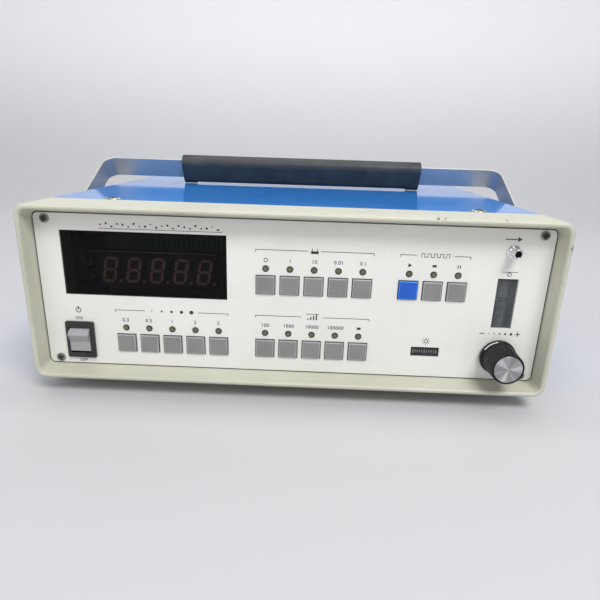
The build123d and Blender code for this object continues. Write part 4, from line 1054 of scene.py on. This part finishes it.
def panel_print():
    numbers = dict(zip(SIZE_KEYS, ("0.3", "0.5", "1", "2", "5")))
    numbers.update(zip(VOLUME_KEYS[1:], ("1", "10", "0.01", "0.1")))
    numbers.update(zip(ALARM_KEYS, ("100", "1000", "10000", "100000")))
    entries = [(text, middle(name).x, middle(name).z + NUMBER_UP, NUMBER_H)
               for name, text in numbers.items()]
    low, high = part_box("rocker_bezel")
    switch_x = (low.x + high.x) / 2
    entries.append(("ON", switch_x, high.z + 2.0 * MM, 2.3 * MM))
    entries.append(("OFF", switch_x, low.z - 1.9 * MM, 2.3 * MM))
    marks = printed_words(entries) + power_sign(switch_x, high.z + 6.6 * MM)
    marks += flow_signs() + dust_trail()
    for names, sign, open_share in ((SIZE_KEYS, size_sign, 0.48), (VOLUME_KEYS, volume_sign, 0.12),
                                    (ALARM_KEYS, alarm_sign, 0.20),
                                    (MEASURE_KEYS, pulse_sign, 0.55)):
        lines, x, level = bracket(names, open_share)
        marks += lines + sign(x, level)
    hour = middle("hour_meter")
    marks += lamp_sign(hour.x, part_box("hour_meter")[1].z + 1.6 * MM)
    manual, alarm_stop = middle(VOLUME_KEYS[0]), middle(ALARM_KEYS[4])
    marks.append(ring(manual.x, manual.z + NUMBER_UP, 0.95 * MM, 0.35 * MM))
    start, stop, hold = (middle(name) for name in MEASURE_KEYS)
    level = start.z + NUMBER_UP
    marks.append(wedge(start.x - 0.2 * MM, level, 1.3 * MM, 1))
    for at, up in ((stop, level), (alarm_stop, alarm_stop.z + NUMBER_UP)):
        marks.append(stroke(at.x - 0.4 * MM, up, at.x + 0.4 * MM, up, 1.3 * MM))
    marks += [stroke(hold.x + side * 0.6 * MM, level - 0.7 * MM, hold.x + side * 0.6 * MM,
                     level + 0.7 * MM, 0.5 * MM)
              for side in (-1, 1)]
    settle(joined(marks), "panel_print", "case", INK_BLACK, "black_plastic")
    ticks = [box(0.35 * MM, INK, (1.4 if n % 5 else 2.4) * MM,
                 (hour.x + (n - 5) * 1.25 * MM, PANEL_FACE + 1.0 * MM - INK, hour.z))
             for n in range(11)]
    settle(joined(ticks), "hour_scale", "case", PALE_MARK, "black_plastic")


# --- Handle ---


def lean_back(piece):
    """Stand the handle, drawn flat with its arms along +Y from the pivot, at its resting lean."""
    return placed(piece, (0, PIVOT.y, PIVOT.z), (HANDLE_LEAN, 0, 0))


def handle_strap():
    """Brushed strip bent twice, with round ends about its pivots."""
    half = STRAP_HIGH.x
    reach, tail = HANDLE_REACH, STRAP_W / 2
    corners = [(-half, -tail), (-half, reach), (half, reach), (half, -tail)]
    strap = wire([(x, y, -STRAP_W / 2) for x, y in corners])
    extrude(0, 0, STRAP_W)
    pick(strap, lambda a, b: abs(a.z - b.z) > STRAP_W / 2 and a.y > 0 and b.y > 0, "EDGE")
    bpy.ops.mesh.bevel(offset=STRAP_BEND, segments=20, affect="EDGES")
    pick(strap, lambda at: at.y < 0, "VERT")
    bpy.ops.mesh.bevel(offset=STRAP_W * 0.499, segments=12, affect="VERTICES")
    face_outward()
    thick = strap.modifiers.new("thick", "SOLIDIFY")
    thick.thickness, thick.offset, thick.use_even_offset = STRAP_T, -1.0, True
    bpy.ops.object.modifier_apply(modifier="thick")
    edit(strap)
    face_outward()
    round_edges(strap, 0.35 * MM, 3, 40)
    lean_back(strap)
    settle(strap, "bent_strap", "handle", STRAP_STEEL, "brushed_strap", "handle_strap")


def handle_grip():
    """Moulded grip: a soft-cornered bar with a deeper collar at each end."""
    half = (GRIP_HIGH.x - GRIP_LOW.x) / 2
    bar = HANDLE_REACH - STRAP_T / 2
    step = 0.02 * MM
    parts = [(box(2 * half - 2 * step, GRIP_T, GRIP_W, (0, bar, 0)), 2 * half)]
    for side in (-1, 1):
        at = (side * (half - COLLAR_L / 2), bar, -COLLAR_DROP / 2)
        parts.append((box(COLLAR_L, GRIP_T + 2 * step, GRIP_W + COLLAR_DROP, at), COLLAR_L))
    for part, long in parts:
        edit(part)
        pick(part, lambda a, b: abs(a.x - b.x) > long / 2, "EDGE")
        bpy.ops.mesh.bevel(offset=GRIP_R, segments=10, affect="EDGES")
        done()
        round_edges(part, 0.3 * MM if long > COLLAR_L else 0.12 * MM, 3, 40)
    grip = lean_back(joined([part for part, long in parts]))
    settle(grip, "soft_grip", "handle", GRIP_RUBBER, "charcoal_grip", "handle_grip")


HUB_R, PIVOT_HEAD_R = 10.0 * MM, 5.6 * MM


def handle_pivots():
    """Turned hubs between case and strap, and the shoulder screws with driver slots."""
    inner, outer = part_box("pivot_hubs")[1].x, STRAP_HIGH.x
    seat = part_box("top_cover")[1].x
    rise = (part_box("pivot_screws")[1].x - outer) / 1.25
    hubs, heads = [], []
    for side in (-1, 1):
        hub = turned([(0.0, seat), (HUB_R - 0.4 * MM, seat), (HUB_R, seat + 0.4 * MM),
                      (HUB_R, inner - 0.6 * MM),
                      (HUB_R - 0.6 * MM, inner), (0.0, inner)], 72, "Z")
        round_edges(hub, 0.2 * MM, 3, 30)
        hubs.append(placed(hub, (0, PIVOT.y, PIVOT.z), (0, side * pi / 2, 0)))
        screw = placed(cross_screw(PIVOT_HEAD_R, rise, CUP_NICKEL), (0, 0, outer))
        heads.append(placed(screw, (0, PIVOT.y, PIVOT.z), (0, side * pi / 2, 0)))
    settle(joined(hubs), "turned_hubs", "case", ZINC, "zinc_steel", "pivot_hubs")
    settle(joined(heads), "pivot_heads", "case", [], "zinc_steel", "pivot_screws")


# --- Back ---


def rear_fittings():
    softened("power_inlet", "case", BLACK, "black_plastic", 0.3 * MM, 2)
    softened("fuse_holder", "case", BLACK, "black_plastic", 0.3 * MM, 3)
    tube_nipple("inlet_nipple", "inlet_tube", 1, REAR_FACE, INLET_R, INLET_BORE)


# --- Inside ---


def inner_pieces():
    """Pieces inside the case keep their own form and get their finish."""
    for finish, names in (
        (ZINC, ("side_rail_left", "side_rail_right", "chassis_plate")),
        (BLACK, ("key_switches", "hour_meter")),
        (BLOCKS, ("digit_modules",)),
        (RESIST, ("display_board", "main_board")),
        (BRASS, ("needle_valve",)),
        (WINDING, ("transformer",)),
        (ANODISED, ("optical_block", "lamp_housing")),
        (TUBE, ("detector_tube",)),
        (PUMP, ("pump",)),
        (FILTER, ("exhaust_filter",)),
        (HOSE, ("air_tubes",)),
    ):
        for name in names:
            NODES[name].data.materials.clear()
            NODES[name].data.materials.append(finish)


# --- Studio ---

CAMERA_AT = (9.8 * MM, -370.3 * MM, 136.4 * MM)
PITCH, ROLL, YAW = radians(17.76), radians(1.86), radians(1.08)
FOCAL_PX, FRAME_PX, SENSOR = 493.0, 600.0, 36.0
FLOOR_GREY = (0.56, 0.56, 0.575)
FLOOR_HALF, SWEEP_UP = 6.0, 4.0
SWEEP_Y, SWEEP_R = 1.15, 0.5
SKY_LIGHT, SKY_SEEN = 0.30, 0.55   # strength for lighting, and behind the set


def studio_floor():
    """Pale floor that sweeps up into the backdrop."""
    side = -FLOOR_HALF
    floor = wire([(side, side, 0), (side, SWEEP_Y, 0), (side, SWEEP_Y, SWEEP_UP)])
    extrude(2 * FLOOR_HALF, 0, 0)
    pick(floor, lambda *ends: all(abs(end.y - SWEEP_Y) < 0.01 and end.z < 0.01 for end in ends),
         "EDGE")
    bpy.ops.mesh.bevel(offset=SWEEP_R, segments=24, affect="EDGES")
    done()
    bpy.ops.object.shade_smooth()
    floor.name = "studio_floor"
    f = Finish("studio_paper")
    up = f.place.part("Z").between(0.02, 0.5)
    tone = f.blend(up, rgb(*FLOOR_GREY), rgb(0.93, 0.93, 0.94))
    floor.data.materials.append(f.feed(Base_Color=tone, Roughness=0.8 + f.cloud(40.0) * 0.1))


def lamp(name, at, aim, width, height, power):
    light = bpy.data.lights.new(name, "AREA")
    light.shape, light.size, light.size_y = "RECTANGLE", width, height
    light.energy = power
    holder = bpy.data.objects.new(name, light)
    holder.location = at
    holder.rotation_euler = (Vector(aim) - Vector(at)).to_track_quat("-Z", "Y").to_euler()
    bpy.context.scene.collection.objects.link(holder)


def studio_light():
    lamp("key_softbox", (0.42, -0.95, 1.3), (0.0, -0.1, 0.05), 0.75, 0.55, 17.5)
    lamp("left_fill", (-1.1, -1.2, 0.8), (0.0, 0.0, 0.05), 1.2, 1.0, 6.0)
    lamp("backdrop_wash", (0.0, 0.2, 2.2), (0.0, 1.1, 0.9), 2.2, 0.8, 20.0)
    world = bpy.data.worlds.new("studio_air")
    bpy.context.scene.world = world
    world.use_nodes = True
    tree = world.node_tree
    sky = tree.nodes["Background"]
    sky.inputs["Color"].default_value = rgb(0.93, 0.94, 1.0)
    seen = tree.nodes.new("ShaderNodeLightPath")
    level = tree.nodes.new("ShaderNodeMapRange")
    level.inputs["To Min"].default_value, level.inputs["To Max"].default_value = SKY_LIGHT, SKY_SEEN
    tree.links.new(seen.outputs["Is Camera Ray"], level.inputs["Value"])
    tree.links.new(level.outputs["Result"], sky.inputs["Strength"])


def studio_camera():
    """Camera at the height, tilt and focal length that the object is seen with."""
    upright = Matrix(((1, 0, 0), (0, 0, -1), (0, 1, 0)))
    yaw, pitch, roll = (Matrix.Rotation(angle, 3, axis)
                        for angle, axis in ((YAW, "Y"), (PITCH, "X"), (ROLL, "Z")))
    flip = Matrix(((1, 0, 0), (0, -1, 0), (0, 0, -1)))
    turn = (flip @ roll @ pitch @ yaw @ upright).transposed()
    lens = bpy.data.cameras.new("studio_camera")
    lens.sensor_width, lens.lens = SENSOR, SENSOR * FOCAL_PX / FRAME_PX
    lens.clip_start, lens.clip_end = 0.01, 50
    camera = bpy.data.objects.new("studio_camera", lens)
    bpy.context.scene.collection.objects.link(camera)
    camera.location = CAMERA_AT
    camera.rotation_euler = turn.to_euler()
    bpy.context.scene.camera = camera


# --- Putting it together ---

housing()
panel_gap_shades()
screws_of_the_panels()
screws_of_the_covers()
key_caps()
key_gap_shades()
status_lamps()
display()
rocker_switch()
tube_nipple("outlet_nipple", "outlet_tube", 0, PANEL_FACE, OUTLET_R, OUTLET_BORE)
flow_knob()
flow_window()
panel_print()
handle_strap()
handle_grip()
handle_pivots()
rear_fittings()
inner_pieces()
studio_floor()
studio_light()
studio_camera()
bpy.context.scene.view_settings.view_transform = "Standard"
